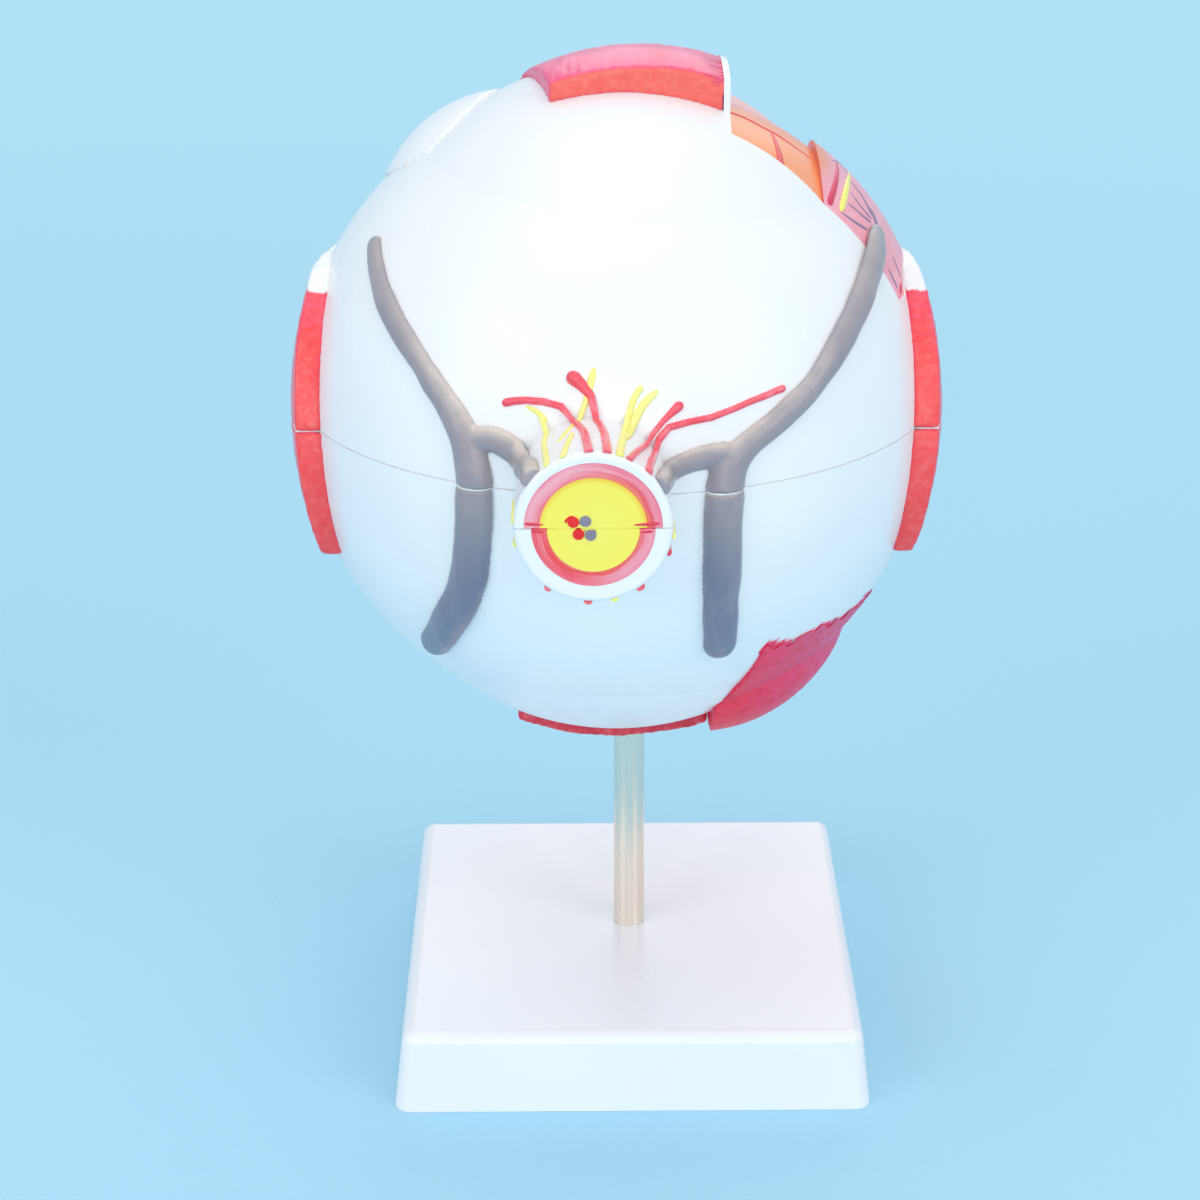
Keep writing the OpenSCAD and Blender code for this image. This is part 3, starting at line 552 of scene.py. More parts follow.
paint_edge = on_skin(side_skin, 318, 292).z
muscle_red = muscle_paint("muscle red paint", side_back, side_cut, side_grain)
muscle_red_capped = muscle_paint(
    "muscle red paint, white cap", side_back, side_cut, side_grain, paint_edge
)
upper_red = muscle_paint(
    "upper muscle paint",
    (tone(248, 84, 132), tone(255, 116, 152), tone(240, 66, 106)),
    (tone(251, 104, 94), tone(253, 122, 110), tone(246, 86, 80)),
    (420, 60, 420),
)
deep_red = muscle_paint(
    "lower muscle paint",
    (tone(238, 58, 84), tone(248, 96, 120), tone(216, 42, 68)),
    (tone(226, 56, 72), tone(242, 92, 104), tone(204, 42, 58)),
    (480, 60, 480),
)
side_relief = fibres(1.1 * mm, 12 * mm, 0.16 * mm, 0.22 * mm)
for side in ("medial", "lateral"):
    for level in ("upper", "lower"):
        node = f"{side}_rectus_{level}"
        muscle = softened(f"{side}_muscle_{level}", 0.6 * mm, 4, node)
        sculpt(muscle, globe_skin, 0.35 * mm, side_relief)
        coat = muscle_red_capped if level == "upper" else muscle_red
        fit(muscle, f"{level}_half", "muscle_red", coat, node)

upper_muscle = softened("upper_muscle", 0.6 * mm, 5, "superior_rectus")
sculpt(upper_muscle, globe_skin, 0.35 * mm, fibres(1.2 * mm, 14 * mm, 0.12 * mm, 0.2 * mm))
fit(upper_muscle, "upper_half", "muscle_red", upper_red, "superior_rectus")

lower_muscle = softened("lower_muscle", 0.6 * mm, 5, "inferior_rectus")
sculpt(lower_muscle, shell_skin, 0.35 * mm, fibres(1.2 * mm, 14 * mm, 0.2 * mm, 0.3 * mm))
fit(lower_muscle, "lower_half", "muscle_red", deep_red, "inferior_rectus")

# ---- Lower oblique muscle ----
# Moulded with the lower shell, it wraps up the temporal side from below. Its paint runs
# out in a frayed edge, and the brush strokes follow the muscle round the globe.
oblique_paint, tree, finish = new_finish("oblique muscle paint")
place = object_place(tree)
brush_slant = (0, math.radians(-38), 0)
wrapped = wire(tree, "ShaderNodeMapping", {"Vector": place, "Rotation": brush_slant}).outputs[0]
strokes = vectors(tree, "MULTIPLY", wrapped, (75, 420, 620))
bristles = noise_on(tree, strokes, 1, 6)
# Painted reflection: across the muscle towards the temporal side the red is painted a mauve pink.
across = axis_of(tree, place, "X")
outward = span(tree, across, 25 * mm, 62 * mm)
coat = mix(tree, outward, tone(255, 58, 86), tone(236, 92, 150))
streaks = span(tree, bristles, 0.36, 0.52, 0.25)
paint = mix(tree, streaks, tone(236, 42, 78), coat)
plug(tree, finish, {"Base Color": paint, "Roughness": 0.42, "Specular IOR Level": 0.2})
add_relief(tree, finish, bristles, 0.15 * mm)


def lay_paint(name, strokes, ground, rise):
    """Strokes of paint, each a list of points and half widths, pressed flat on a surface."""
    tip_reach, tip_width = 0.7, 0.25
    bed_share, bed_depth = 0.3, 0.02 * mm
    line = bpy.data.curves.new(name, "CURVE")
    line.dimensions = "3D"
    line.bevel_depth = 1
    line.bevel_resolution = 2
    line.resolution_u = 6
    line.use_fill_caps = True
    for stroke in strokes:
        ends = []
        for (spot, half), (inner, _) in ((stroke[0], stroke[1]), (stroke[-1], stroke[-2])):
            ends.append((spot + (spot - inner).normalized() * half * tip_reach, half * tip_width))
        stroke = [ends[0], *stroke, ends[1]]
        spline = line.splines.new("NURBS")
        spline.points.add(len(stroke) - 1)
        for knot, (spot, half) in zip(spline.points, stroke):
            knot.co = (*spot, 1)
            knot.radius = half
        spline.use_endpoint_u = True
        spline.order_u = min(4, len(stroke))
    carrier = bpy.data.objects.new(name + "_line", line)
    scene.collection.objects.link(carrier)
    bpy.context.view_layer.update()
    tube = bpy.data.meshes.new_from_object(carrier.evaluated_get(bpy.context.evaluated_depsgraph_get()))
    bpy.data.objects.remove(carrier)
    shape = bmesh.new()
    shape.from_mesh(tube)
    bmesh.ops.remove_doubles(shape, verts=shape.verts, dist=0.001 * mm)
    for vertex in shape.verts:
        spot, out, _, _ = ground.find_nearest(vertex.co)
        above = (vertex.co - spot).dot(out)
        vertex.co = spot + out * (above * rise if above > 0 else above * bed_share - bed_depth)
    return add_piece(name, shape)


# The paint's edge, as pixels of the photograph. The muscle thins out towards the plane
# through three points of that edge, and 120 short hairs of paint run out over it.
paint_limit = [
    (764, 648), (770, 646), (774, 650), (782, 645), (788, 648), (799, 639), (814, 632), (823, 626),
    (828, 628), (836, 620), (841, 621), (850, 612), (861, 603), (870, 592),
]
limit_spots = [on_skin(shell_skin, *pixel) for pixel in ((764, 650), (820, 637), (862, 609))]
limit_normal = (limit_spots[1] - limit_spots[0]).cross(limit_spots[2] - limit_spots[0]).normalized()
muscle_low, muscle_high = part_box("inferior_oblique")
if limit_normal.dot((muscle_low + muscle_high) / 2 - limit_spots[0]) < 0:
    limit_normal = -limit_normal


def thinned_to_paint(spot):
    """Share of the muscle's thickness, which runs out to a coat of paint at its edge."""
    taper = 13 * mm
    least = 0.12
    inside = limit_normal.dot(spot - limit_spots[0]) / taper
    return least + (1 - least) * min(1, max(0, inside)) ** 0.8


oblique = softened("oblique_muscle", 0.5 * mm, 3, "inferior_oblique")
sculpt(oblique, shell_skin, 0.25 * mm, fibres(1.3 * mm, 6 * mm, 0.1 * mm, 0.22 * mm), thinned_to_paint)
fit(oblique, "lower_half", "muscle_deep_red", oblique_paint, "inferior_oblique")

hairs = []
hair_count = 120
for hair in range(hair_count):
    along = hair / (hair_count - 1) * (len(paint_limit) - 1.001)
    near, far = paint_limit[int(along)], paint_limit[int(along) + 1]
    share = along % 1
    chance = noise.cell(Vector((hair, 3.3, 7.1)))
    lean = 0.62 + 0.2 * along / len(paint_limit)
    rise = math.sqrt(1 - lean * lean)
    reach = 4 + 9 * abs(chance) ** 1.5 if along < 10 else 3 + 3 * abs(chance)
    across = near[0] + (far[0] - near[0]) * share + 1.6 * chance
    down = near[1] + (far[1] - near[1]) * share
    stroke = []
    for step, half in ((-6, 0.7), (-1, 0.65), (0.4 * reach, 0.42), (reach, 0.08)):
        pixel = (across + lean * step, down - rise * step)
        stroke.append((on_skin(shell_skin, *pixel), half * mm))
    hairs.append(stroke)
fit(lay_paint("oblique_fray", hairs, shell_skin, 0.3), "lower_half", "muscle_deep_red", oblique_paint)

# ---- Tendon of the upper oblique muscle ----
# A white band in low relief at the upper nasal side, moulded with the upper shell in
# the same plastic and left unpainted. Its edges run softly into the globe.
tendon = softened("oblique_tendon", 0.6 * mm, 16, "superior_oblique_tendon")
sculpt(tendon, shell_skin, 0.45 * mm, fibres(2.5 * mm, 14 * mm, 0.03 * mm, 0.1 * mm))
fit(tendon, "upper_half", "sclera_white", shell_white, "superior_oblique_tendon")

# ---- Vortex veins ----
# nerve's sheath. They are painted a warm grey and are slightly lumpy, with a painted bluish
# reflection of the floor low down and a painted beige highlight on their tops.
vein_paint, tree, finish = new_finish("vein grey paint")
seat = wire(tree, "ShaderNodeTexCoord").outputs
# Painted reflection: low on the veins the grey is painted colder and bluish, a reflection of the blue
# floor; higher up it is the paint's warm grey.
floor_reflection_coat = brushed(
    tree, tone(124, 126, 146), tone(138, 138, 154), tone(112, 118, 142), (300, 300, 40), 0.24
)
high_coat = brushed(
    tree, tone(160, 150, 157), tone(172, 160, 163), tone(150, 142, 152), (160, 160, 80), 0.24
)
level = axis_of(tree, seat["Object"], "Z")
is_high = span(tree, level, parting_height - 28 * mm, parting_height + 6 * mm, smooth=True)
coat = mix(tree, is_high, floor_reflection_coat["Colour"], high_coat["Colour"])
# Painted highlight: where the surface faces up, the grey turns a light beige in patches, and this fades
# out high up towards the tip.
up = axis_of(tree, seat["Normal"], "Z")
faces_up = span(tree, up, 0.35, 0.85, smooth=True)
patch = noise_on(tree, seat["Object"], 55, 3)
highlight_patches = span(tree, patch, 0.36, 0.6, high=0.85)
highlight_below_tip = span(tree, level, globe_middle.z + 22 * mm, globe_middle.z + 42 * mm, 1, 0.15)
patchy_highlight = reckon(tree, "MULTIPLY", faces_up, highlight_patches)
painted_highlight = reckon(tree, "MULTIPLY", patchy_highlight, highlight_below_tip)
colour = mix(tree, painted_highlight, coat, tone(222, 208, 196))
plug(tree, finish, {
    "Base Color": colour,
    "Roughness": high_coat["Roughness"],
    "Coat Weight": 0.25,
    "Coat Roughness": 0.15,
})
add_relief(tree, finish, high_coat["Height"], 0.08 * mm)


def lumpy(size, depth):
    """Relief of a hand-finished vessel: soft lumps all over."""
    return lambda spot, out: depth * noise.noise(spot / size)


vein_lumps = lumpy(7 * mm, 0.4 * mm)


def broad_tip(spot, out):
    """The temporal vein broadens where it gathers the window's fine veins."""
    high = min(1, max(0, (spot.z - globe_middle.z - 22 * mm) / (26 * mm)))
    return vein_lumps(spot, out) + 1.1 * mm * high


for side in ("nasal", "temporal"):
    for level in ("upper", "lower"):
        node = f"{side}_vein_{level}"
        vein = softened(f"{side}_vortex_vein_{level}", 0.36 * mm, 14, node)
        sculpt(vein, shell_skin, 0.2 * mm, broad_tip if side == "temporal" else vein_lumps)
        fit(vein, f"{level}_half", "vein_grey", vein_paint, node)

# ---- Ciliary arteries and nerves ----
# Thin vessels run from the nerve's cut edge forwards along its sheath and on to the
# globe: arteries in glossy red that swell at their ends, nerves in pale yellow.
artery_paint, tree, finish = new_finish("artery red paint")
coat = brushed(tree, tone(248, 84, 102), tone(252, 130, 142), tone(238, 52, 74), (260, 120, 260), 0.2)
plug(tree, finish, {"Base Color": coat["Colour"], "Roughness": coat["Roughness"], "Coat Weight": 0.5})
add_relief(tree, finish, coat["Height"], 0.06 * mm)
nerve_paint = gloss_plastic(
    "nerve yellow paint", tone(255, 250, 158), tone(252, 244, 128), 120, 0.24, 0.6
)
for kind, slot, material in (
    ("arteries", "artery_red", artery_paint),
    ("nerves", "nerve_yellow", nerve_paint),
):
    for level in ("upper", "lower"):
        node = f"ciliary_{kind}_{level}"
        vessels = softened(f"thin_{kind}_{level}", 0.16 * mm, 8, node)
        sculpt(vessels, shell_skin, 0.1 * mm, lumpy(2.4 * mm, 0.12 * mm))
        fit(vessels, f"{level}_half", slot, material, node)

# Nerves that are only painted on the shell, as pixels of the photograph and half widths.
flat_nerves = (
    ((593.4, 371, 1.0), (589.8, 387.8, 0.9), (583.8, 409.3, 0.7), (576.6, 421.3, 0.6), (567, 431, 0.7),
     (559, 441, 0.8)),
    ((655.6, 392.6, 1.0), (643.6, 402.1, 0.9), (634, 421.3, 1.1), (629.2, 433.2, 1.2), (622, 440.4, 1.2)),
    ((527, 407, 0.5), (534, 409.5, 0.6), (540, 414, 0.7), (545.5, 421, 0.7)),
)
strokes = [[(on_skin(shell_skin, x, y), half * mm) for x, y, half in stroke] for stroke in flat_nerves]
fit(lay_paint("flat_nerves", strokes, shell_skin, 0.35), "upper_half", "nerve_yellow", nerve_paint)

# ---- Nerve end ----
# The nerve's cut end: a pink-red ring round a yellow core, inlaid and painted in each
# half. The strokes wander, and the ring turns orange where it meets the core.
sheath_low, sheath_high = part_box("nerve_ring_upper")
nerve_middle = Vector(((sheath_low.x + sheath_high.x) / 2, sheath_low.y, parting_height))


def from_nerve_axis(tree, wander):
    """Distance from the nerve's axis, in metres, warped a little by noise."""
    place = object_place(tree)
    centred = vectors(tree, "SUBTRACT", place, nerve_middle)
    flat = vectors(tree, "MULTIPLY", centred, (1, 0, 1))
    reach = vectors(tree, "LENGTH", flat)
    drift = noise_on(tree, place, 130, 3)
    return reckon(tree, "MULTIPLY_ADD", drift, wander, reach)


def ramp(tree, source, low, high, stops):
    """Colours along a value that runs from low to high."""
    share = span(tree, source, low, high)
    blend = wire(tree, "ShaderNodeValToRGB", {0: share})
    while len(blend.color_ramp.elements) < len(stops):
        blend.color_ramp.elements.new(0.5)
    for element, (at, colour) in zip(blend.color_ramp.elements, stops):
        element.position = at
        element.color = colour
    return blend.outputs[0]


# Bands of the ring from its core outwards: how far out, the colour on the left half and
# the colour on the right half.
ring_bands = {
    "upper": (
        (0.0, (246, 108, 112), (250, 122, 52)),
        (0.2, (246, 120, 136), (250, 108, 70)),
        (0.4, (250, 158, 172), (240, 84, 102)),
        (0.6, (251, 172, 184), (250, 142, 160)),
        (0.86, (250, 156, 172), (246, 118, 142)),
        (1.0, (242, 108, 132), (236, 72, 104)),
    ),
    "lower": (
        (0.0, (247, 96, 60), (248, 106, 60)),
        (0.18, (246, 78, 70), (246, 88, 84)),
        (0.4, (246, 74, 84), (250, 140, 160)),
        (0.6, (248, 84, 96), (251, 160, 176)),
        (0.86, (248, 92, 108), (250, 142, 160)),
        (1.0, (238, 64, 88), (242, 104, 128)),
    ),
}
for level, inner, outer in (("upper", 12.1 * mm, 16.1 * mm), ("lower", 10.5 * mm, 14.5 * mm)):
    ring_paint, tree, finish = new_finish(f"nerve ring paint {level}")
    reach = from_nerve_axis(tree, 1.6 * mm)
    sides = []
    for side in (1, 2):
        stops = [(band[0], tone(*band[side])) for band in ring_bands[level]]
        sides.append(ramp(tree, reach, inner, outer, stops))
    place = object_place(tree)
    across = axis_of(tree, place, "X")
    to_right = span(tree, across, nerve_middle.x - 5 * mm, nerve_middle.x + 6 * mm)
    colour = mix(tree, to_right, sides[0], sides[1])
    turns = wire(tree, "ShaderNodeVectorMath", {0: place, "Scale": 60}, operation="SCALE").outputs[0]
    rings = reckon(tree, "MULTIPLY", reach, 2200)
    lifted = wire(tree, "ShaderNodeCombineXYZ", {1: rings}).outputs[0]
    swept = vectors(tree, "ADD", turns, lifted)
    bristles = noise_on(tree, swept, 1, 4)
    streaks = span(tree, bristles, 0.45, 0.75, high=0.55)
    streaked = mix(tree, streaks, colour, tone(253, 190, 198))
    plug(tree, finish, {"Base Color": streaked, "Roughness": 0.25})
    add_relief(tree, finish, bristles, 0.08 * mm)
    refinish(ring_paint, f"nerve_ring_{level}")

core_paint, tree, finish = new_finish("nerve core paint")
reach = from_nerve_axis(tree, 1.0 * mm)
stops = ((0.0, tone(255, 242, 108)), (0.86, tone(255, 240, 96)), (0.97, tone(255, 208, 64)))
colour = ramp(tree, reach, 0, 12.6 * mm, stops)
plug(tree, finish, {"Base Color": colour, "Roughness": 0.28})
grain = noise_on(tree, object_place(tree), 500, 3)
add_relief(tree, finish, grain, 0.06 * mm)
refinish(core_paint, "optic_nerve_upper", "optic_nerve_lower")
nerve_skin = surface_of(
    "optic_nerve_upper", "optic_nerve_lower", "nerve_ring_upper", "nerve_ring_lower"
)


def lay_blot(name, outline, ground, thick):
    """A flat blot of thick paint, whose outline has its corners cut twice to round them."""
    for _ in range(2):
        ends = outline[1:] + outline[:1]
        outline = [a.lerp(b, share) for a, b in zip(outline, ends) for share in (0.25, 0.75)]
    middle = sum(outline, Vector()) / len(outline)
    about_middle = Matrix.Translation(-middle)
    shape = bmesh.new()
    top = shape.faces.new([shape.verts.new(corner) for corner in outline])
    rises = dict.fromkeys(top.verts, -0.4)
    width = 1.0
    for share, rise in ((1.0, 0.5), (0.93, 0.9), (0.8, 1.0)):
        is_foot = len(shape.faces) == 1
        rim = [top, *top.edges]
        grown = bmesh.ops.extrude_face_region(shape, geom=rim, use_keep_orig=is_foot)["geom"]
        top = next(part for part in grown if isinstance(part, bmesh.types.BMFace))
        bmesh.ops.scale(shape, verts=top.verts[:], vec=[share / width] * 3, space=about_middle)
        rises.update(dict.fromkeys(top.verts, rise))
        width = share
    for vertex, rise in rises.items():
        spot, out, _, _ = ground.find_nearest(vertex.co)
        vertex.co = spot + out * rise * thick
    bmesh.ops.recalc_face_normals(shape, faces=shape.faces)
    return add_piece(name, shape)


dab_red = gloss_plastic("dab red paint", tone(248, 40, 34), tone(236, 26, 30), 300, 0.24, 0.8)
dab_grey = gloss_plastic("dab grey paint", tone(146, 138, 156), tone(134, 128, 146), 300, 0.24, 0.8)
refinish(dab_red, "central_artery_upper", "central_artery_lower")
refinish(dab_grey, "central_vein_upper", "central_vein_lower")
dab_outlines = {
    "upper_red_dab": ((564, 523.4), (565, 519.5), (570, 515.5), (575.5, 516), (577, 523.6)),
    "upper_grey_dab": (
        (579, 523), (582, 516.5), (588, 516), (591, 520), (591.5, 524), (586, 525.6), (580, 524.6),
    ),
    "lower_red_dab": ((574, 529.3), (583, 530), (583.5, 535), (579, 538.6), (575.6, 536)),
    "lower_grey_dab": (
        (585, 528.8), (596, 529.6), (596.6, 534), (592.5, 539), (587, 536.4), (583.8, 532),
    ),
}
for name, outline in dab_outlines.items():
    dab = lay_blot(name, [on_skin(nerve_skin, *pixel) for pixel in outline], nerve_skin, 0.22 * mm)
    body = "upper_half" if "upper" in name else "lower_half"
    slot, material = ("artery_red", dab_red) if "red" in name else ("vein_grey", dab_grey)
    fit(dab, body, slot, material)

# Where the two halves of the ring meet, the painter's brush left a darker line.
joint_red = gloss_plastic("joint red paint", tone(226, 40, 66), tone(238, 70, 92), 260, 0.26, 0.7)
joint_lines = (
    ("upper_half", ((526, 524, 0.45), (531, 524.3, 0.42), (537, 524.6, 0.3), (543, 524.9, 0.15))),
    ("upper_half", ((634, 525, 0.15), (642, 524.6, 0.35), (650, 524.2, 0.5), (658, 523.6, 0.5))),
    ("lower_half", ((533, 531.4, 0.4), (538, 531.6, 0.38), (544, 532, 0.15))),
    ("lower_half", ((640, 532.4, 0.15), (646, 531.8, 0.35), (652, 531.4, 0.4))),
)
for count, (body, line) in enumerate(joint_lines, 1):
    stroke = [(on_skin(nerve_skin, x, y), half * mm) for x, y, half in line]
    fit(lay_paint(f"ring_joint_line_{count}", [stroke], nerve_skin, 0.3), body, "artery_red", joint_red)
raised_lip("nerve_ring_lower", joint_red, "nerve_ring_pink", 0.97)
raised_lip("optic_nerve_lower", core_paint, "nerve_core_yellow", 0.985)

# ---- Window ----
# Cut in the upper shell's temporal side: the orange choroid, and beside it the swollen
# pink field with its painted vessels, which gather at the tip of the temporal vein.
window_orange, tree, finish = new_finish("window orange paint")
place = object_place(tree)
coat = brushed(
    tree, tone(253, 160, 106), tone(254, 172, 120), tone(250, 146, 96), (160, 160, 160), 0.22
)
drift = noise_on(tree, place, 90, 3)
forward = reckon(tree, "MULTIPLY_ADD", drift, 3 * mm, axis_of(tree, place, "Y"))
is_band = span(tree, forward, 6.4 * mm, 7.4 * mm)
colour = mix(tree, is_band, coat["Colour"], tone(250, 160, 150))
plug(tree, finish, {"Base Color": colour, "Roughness": coat["Roughness"]})
add_relief(tree, finish, coat["Height"], 0.1 * mm)
refinish(window_orange, "window_choroid")

window_pink, tree, finish = new_finish("window pink paint")
place = object_place(tree)
coat = brushed(
    tree, tone(250, 164, 178), tone(252, 182, 192), tone(242, 170, 196), (220, 90, 220), 0.24
)
level = axis_of(tree, place, "Z")
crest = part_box("window_vein_field")[1].z
on_crest = span(tree, level, crest - 4.5 * mm, crest - 0.8 * mm, smooth=True)
colour = mix(tree, on_crest, coat["Colour"], tone(242, 148, 112))
plug(tree, finish, {"Base Color": colour, "Roughness": coat["Roughness"]})
add_relief(tree, finish, coat["Height"], 0.1 * mm)
refinish(window_pink, "window_vein_field")

window_skin = surface_of("window_choroid", "window_vein_field")
# Painted marks: a colour and its strokes, as pixels of the photograph and half widths.
window_marks = {
    "window_red_lines": (
        tone(236, 66, 66),
        (
            ((728, 111.9, 0.8), (737.5, 114.3, 0.8), (752.7, 121.8, 0.75), (768, 130.4, 0.7),
             (774.4, 133, 0.65), (789.6, 143.5, 0.55), (804.8, 154.4, 0.45), (812.3, 159.8, 0.2)),
            ((771.2, 132.5, 0.5), (775.5, 141.8, 0.6), (778.7, 151.5, 0.75), (780.4, 160.2, 0.95),
             (781, 168, 1.2)),
        ),
    ),
    "window_crimson_stripe": (
        tone(222, 48, 84),
        (
            ((836.4, 162, 0.4), (837.3, 168.5, 0.6), (837, 175, 0.7), (836, 182, 0.8),
             (833.6, 191, 0.85), (831, 199, 0.95), (829.8, 203.5, 0.95)),
            ((901, 283, 0.4), (901, 287, 0.6), (900.2, 292, 0.7)),
        ),
    ),
    "window_yellow_stripe": (
        tone(252, 246, 120),
        (
            ((848.6, 171, 0.3), (848.3, 177.5, 0.6), (847.4, 185, 0.9), (845.6, 193, 0.95),
             (843.6, 201, 1.0), (841.4, 209.5, 0.95)),
        ),
    ),
    "window_fine_veins": (
        tone(150, 122, 158),
        (
            ((832, 160.5, 0.25), (836, 160, 0.4), (843.8, 167.2, 0.4), (846.5, 173.6, 0.3)),
            ((850.2, 180.7, 0.3), (856.8, 188.6, 0.45), (863.3, 198.3, 0.55), (868.7, 208, 0.7),
             (871.4, 214, 0.9)),
            ((850.3, 192, 0.25), (856.8, 201.4, 0.4), (864.5, 211.2, 0.5), (870.4, 217.7, 0.6)),
            ((848.1, 203.6, 0.3), (856.8, 210.1, 0.45), (865, 218, 0.55), (870, 221.6, 0.6)),
            ((842, 212.6, 0.3), (850.3, 219, 0.5), (858.9, 225, 0.6), (866.6, 229, 0.6)),
            ((839.5, 198.6, 0.25), (843, 202, 0.3), (846, 204, 0.2)),
            ((871, 209, 0.5), (873.5, 215, 0.9), (876, 223, 1.1)),
            ((893, 257, 0.3), (897, 268, 0.45), (901, 277, 0.4)),
            ((888.5, 269, 0.3), (893, 279, 0.5), (897.5, 288, 0.4)),
        ),
    ),
}
for name, (colour, strokes) in window_marks.items():
    laid = [[(on_skin(window_skin, x, y), half * mm) for x, y, half in stroke] for stroke in strokes]
    marks = lay_paint(name, laid, window_skin, 0.3)
    paint = gloss_plastic(name.replace("_", " ") + " paint", colour, colour, 200, 0.22, 0.6)
    fit(marks, "upper_half", "window_pink", paint)

# ---- Choroid ----
# The middle shell lies loose in the sclera, in two halves. It has red-brown satin paint
# with a net of darker vessels, and raised arteries and veins spread over it in whorls.
choroid_paint, tree, finish = new_finish("choroid paint")
place = object_place(tree)
drift = wire(tree, "ShaderNodeTexNoise", {"Vector": place, "Scale": 60, "Detail": 4})
shifts = {0: 0.04, 4: place, 5: drift.outputs["Color"]}
bent = wire(tree, "ShaderNodeMix", shifts, data_type="VECTOR").outputs[1]
cells = wire(tree, "ShaderNodeTexVoronoi", {"Vector": bent, "Scale": 95}, feature="DISTANCE_TO_EDGE")
net = span(tree, cells.outputs["Distance"], 0.02, 0.1)
ground_coat = brushed(
    tree, tone(176, 82, 56), tone(196, 102, 70), tone(150, 62, 46), (70, 70, 70), 0.34
)
colour = mix(tree, net, tone(128, 38, 36), ground_coat["Colour"])
plug(tree, finish, {"Base Color": colour, "Roughness": ground_coat["Roughness"]})
add_relief(tree, finish, net, -0.12 * mm)
refinish(choroid_paint, "choroid_upper", "choroid_lower")


def bowl_spot(pole, aside, radius, spread, turn):
    """A point of a shell of given radius, spread degrees from its pole and turned round it."""
    away, about = math.radians(spread), math.radians(turn)
    other = pole.cross(aside).normalized()
    ring = aside * math.cos(about) + other * math.sin(about)
    return globe_middle + (pole * math.cos(away) + ring * math.sin(away)) * radius


def vessel_tree(pole, aside, radius, turn, bend, reach, half, is_upper):
    """A painted vessel that leaves a pole and bends as it spreads, with its side twigs."""
    trunk_steps, twig_steps = 10, 5
    tracks = [[]]
    for step in range(trunk_steps + 1):
        gone = step / trunk_steps
        tracks[0].append((3 + (reach - 3) * gone, turn + bend * gone ** 1.3, 1 - 0.75 * gone))
    for order, start in enumerate((2, 4, 5, 7)):
        spread, angle, share = tracks[0][start]
        lean = (1 if order % 2 else -1) * (34 - 3 * start)
        twig = []
        for step in range(twig_steps + 1):
            gone = step / twig_steps
            out = spread + (reach - spread) * 0.62 * gone
            twig.append((out, angle + lean * gone ** 0.8, share * (0.72 - 0.5 * gone)))
        tracks.append(twig)
    strokes = []
    for track in tracks:
        stroke = []
        for spread, angle, share in track:
            sway = 2.2 * noise.noise(Vector((spread / 6, angle / 30, radius * 50)))
            spot = bowl_spot(pole, aside, radius, spread, angle + sway)
            clear = spot.z - parting_height if is_upper else parting_height - spot.z
            if clear < 1.2 * mm:
                break
            stroke.append((spot, max(0.12, half * share) * mm))
        if len(stroke) > 3:
            strokes.append(stroke)
    return strokes


choroid_red = gloss_plastic("choroid artery paint", tone(206, 52, 46), tone(184, 38, 40), 200, 0.3, 0.6)
choroid_blue = gloss_plastic("choroid vein paint", tone(92, 98, 150), tone(74, 80, 132), 200, 0.3, 0.6)
choroid_low, choroid_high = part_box("choroid_lower")
choroid_radius = (choroid_high.x - choroid_low.x) / 2
arm_count = 7
arm_turn = 51.4
for level, rise in (("upper", 1), ("lower", -1)):
    skin = surface_of(f"choroid_{level}")
    reds, blues = [], []
    for side in (-1, 1):
        pole = Vector((0.68 * side, -0.15, 0.6 * rise)).normalized()
        aside = pole.cross(Vector((0, 1, 0))).normalized()
        for arm in range(arm_count):
            turn = arm * arm_turn
            blues += vessel_tree(pole, aside, choroid_radius, turn, 30, 44, 1.1, rise > 0)
            reds += vessel_tree(pole, aside, choroid_radius, turn + 25, 30, 38, 0.75, rise > 0)
    body = f"inner_{level}"
    fit(lay_paint(f"choroid_veins_{level}", blues, skin, 0.28), body, "vein_grey", choroid_blue)
    fit(lay_paint(f"choroid_arteries_{level}", reds, skin, 0.28), body, "artery_red", choroid_red)

# ---- Retina ----
# Lines the choroid in glossy orange paint, with the pale disc where the nerve leaves, the
# darker spot of sharpest sight, and arteries and veins that branch from the disc.
retina_paint, tree, finish = new_finish("retina paint")
coat = brushed(tree, tone(240, 150, 86), tone(246, 166, 100), tone(228, 128, 70), (45, 45, 45), 0.24)
place = object_place(tree)
spot_middle = globe_middle + Vector((18, -69, 0)) * mm
offset = vectors(tree, "DISTANCE", place, spot_middle)
near_spot = span(tree, offset, 3 * mm, 9 * mm)
colour = mix(tree, near_spot, tone(196, 84, 50), coat["Colour"])
retina_reach = 70.9 * mm
disc_middle = Vector((nerve_middle.x, globe_middle.y - retina_reach, nerve_middle.z))
offset = vectors(tree, "DISTANCE", place, disc_middle)
on_disc = span(tree, offset, 6.4 * mm, 5.8 * mm)
colour = mix(tree, on_disc, colour, tone(252, 232, 150))
plug(tree, finish, {"Base Color": colour, "Roughness": coat["Roughness"]})
add_relief(tree, finish, coat["Height"], 0.1 * mm)
refinish(retina_paint, "retina_upper", "retina_lower")
disc_offset = disc_middle - globe_middle
disc_pole = disc_offset.normalized()
disc_aside = Vector((1, 0, 0))
disc_aside = (disc_aside - disc_pole * disc_aside.dot(disc_pole)).normalized()
bowl_radius = disc_offset.length
retina_red = gloss_plastic("retina artery paint", tone(214, 34, 36), tone(196, 24, 30), 200, 0.22, 0.6)
retina_blue = gloss_plastic("retina vein paint", tone(96, 78, 132), tone(80, 62, 116), 200, 0.22, 0.6)
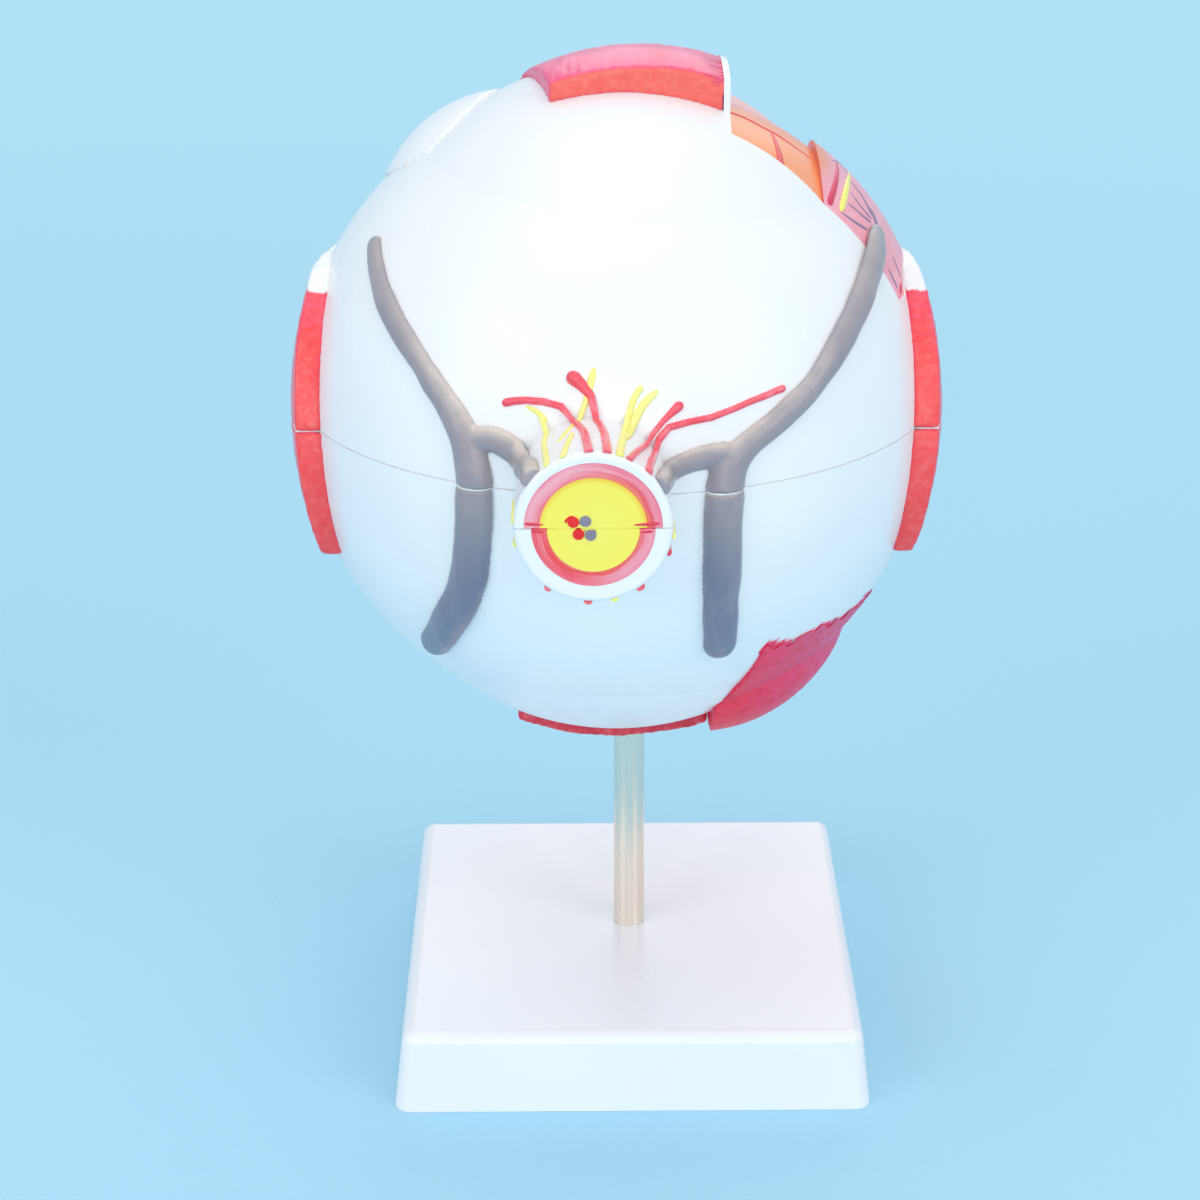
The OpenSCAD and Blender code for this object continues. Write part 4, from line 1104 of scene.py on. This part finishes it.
for level, rise in (("upper", 1), ("lower", -1)):
    skin = surface_of(f"retina_{level}")
    reds, blues = [], []
    for start, bend, reach in ((58, -30, 66), (128, 24, 60)):
        bowl = (disc_pole, disc_aside, bowl_radius)
        turn, bend = rise * start, rise * bend
        reds += vessel_tree(*bowl, turn, bend, reach, 0.85, rise > 0)
        blues += vessel_tree(*bowl, turn + 11 * rise, bend, reach - 4, 1.05, rise > 0)
    body = f"inner_{level}"
    fit(lay_paint(f"retina_veins_{level}", blues, skin, 0.28), body, "vein_grey", retina_blue)
    fit(lay_paint(f"retina_arteries_{level}", reds, skin, 0.28), body, "artery_red", retina_red)

# ---- Ciliary body ----
# A dark brown painted ring behind the iris, in two halves that sit in the choroid's
# halves. Its folds point at the lens.
ciliary_paint, tree, finish = new_finish("ciliary body paint")
coat = brushed(tree, tone(112, 58, 46), tone(140, 80, 62), tone(78, 36, 32), (240, 60, 240), 0.36)
plug(tree, finish, {"Base Color": coat["Colour"], "Roughness": coat["Roughness"]})
add_relief(tree, finish, coat["Height"], 0.15 * mm)
refinish(ciliary_paint, "ciliary_body_upper", "ciliary_body_lower")

# ---- Iris ----
# A thin painted disc round the pupil: blue fibres run outwards from a brown and green
# collar, and a dark ring closes its edge.
iris_paint, tree, finish = new_finish("iris paint")
place = object_place(tree)
centred = vectors(tree, "SUBTRACT", place, globe_middle)
flat = vectors(tree, "MULTIPLY", centred, (1, 0, 1))
reach = vectors(tree, "LENGTH", flat)
aim = vectors(tree, "NORMALIZE", flat)
spread = wire(tree, "ShaderNodeVectorMath", {0: aim, "Scale": 22}, operation="SCALE").outputs[0]
ringed = reckon(tree, "MULTIPLY", reach, 70)
lifted = wire(tree, "ShaderNodeCombineXYZ", {1: ringed}).outputs[0]
rays = vectors(tree, "ADD", spread, lifted)
strands = noise_on(tree, rays, 1, 5)
stops = (
    (0.0, tone(46, 26, 18)),
    (0.07, tone(122, 84, 48)),
    (0.26, tone(150, 150, 120)),
    (0.42, tone(104, 168, 206)),
    (0.86, tone(70, 132, 186)),
    (1.0, tone(24, 40, 62)),
)
bands = ramp(tree, reach, 12.5 * mm, 46 * mm, stops)
threads = span(tree, strands, 0.38, 0.66, 0.35, 1.25)
layers = {0: 1, 6: bands, 7: threads}
lit = wire(tree, "ShaderNodeMix", layers, data_type="RGBA", blend_type="MULTIPLY").outputs[2]
plug(tree, finish, {"Base Color": lit, "Roughness": 0.2, "Coat Weight": 0.6})
add_relief(tree, finish, strands, 0.5 * mm)
refinish(iris_paint, "iris_upper", "iris_lower")


# ---- Vitreous body, lens and cornea ----
# Clear polished plastic. The vitreous body fills the retina's bowl, the lens sits in its
# front, and the cornea is a thin dome over the iris.
def clear_plastic(name, colour, bending):
    """Clear plastic with faint smears in its polish, which bends light as given."""
    material, tree, finish = new_finish(name)
    smears = noise_on(tree, object_place(tree), 40, 4)
    dulled = span(tree, smears, high=0.06)
    plug(tree, finish, {
        "Roughness": dulled,
        "Base Color": colour,
        "Transmission Weight": 1,
        "IOR": bending,
    })
    return material


refinish(clear_plastic("vitreous plastic", tone(246, 250, 255), 1.28), "vitreous_body")
refinish(clear_plastic("lens plastic", tone(250, 250, 240), 1.42), "lens")
refinish(clear_plastic("cornea plastic", tone(246, 251, 255), 1.42), "cornea")
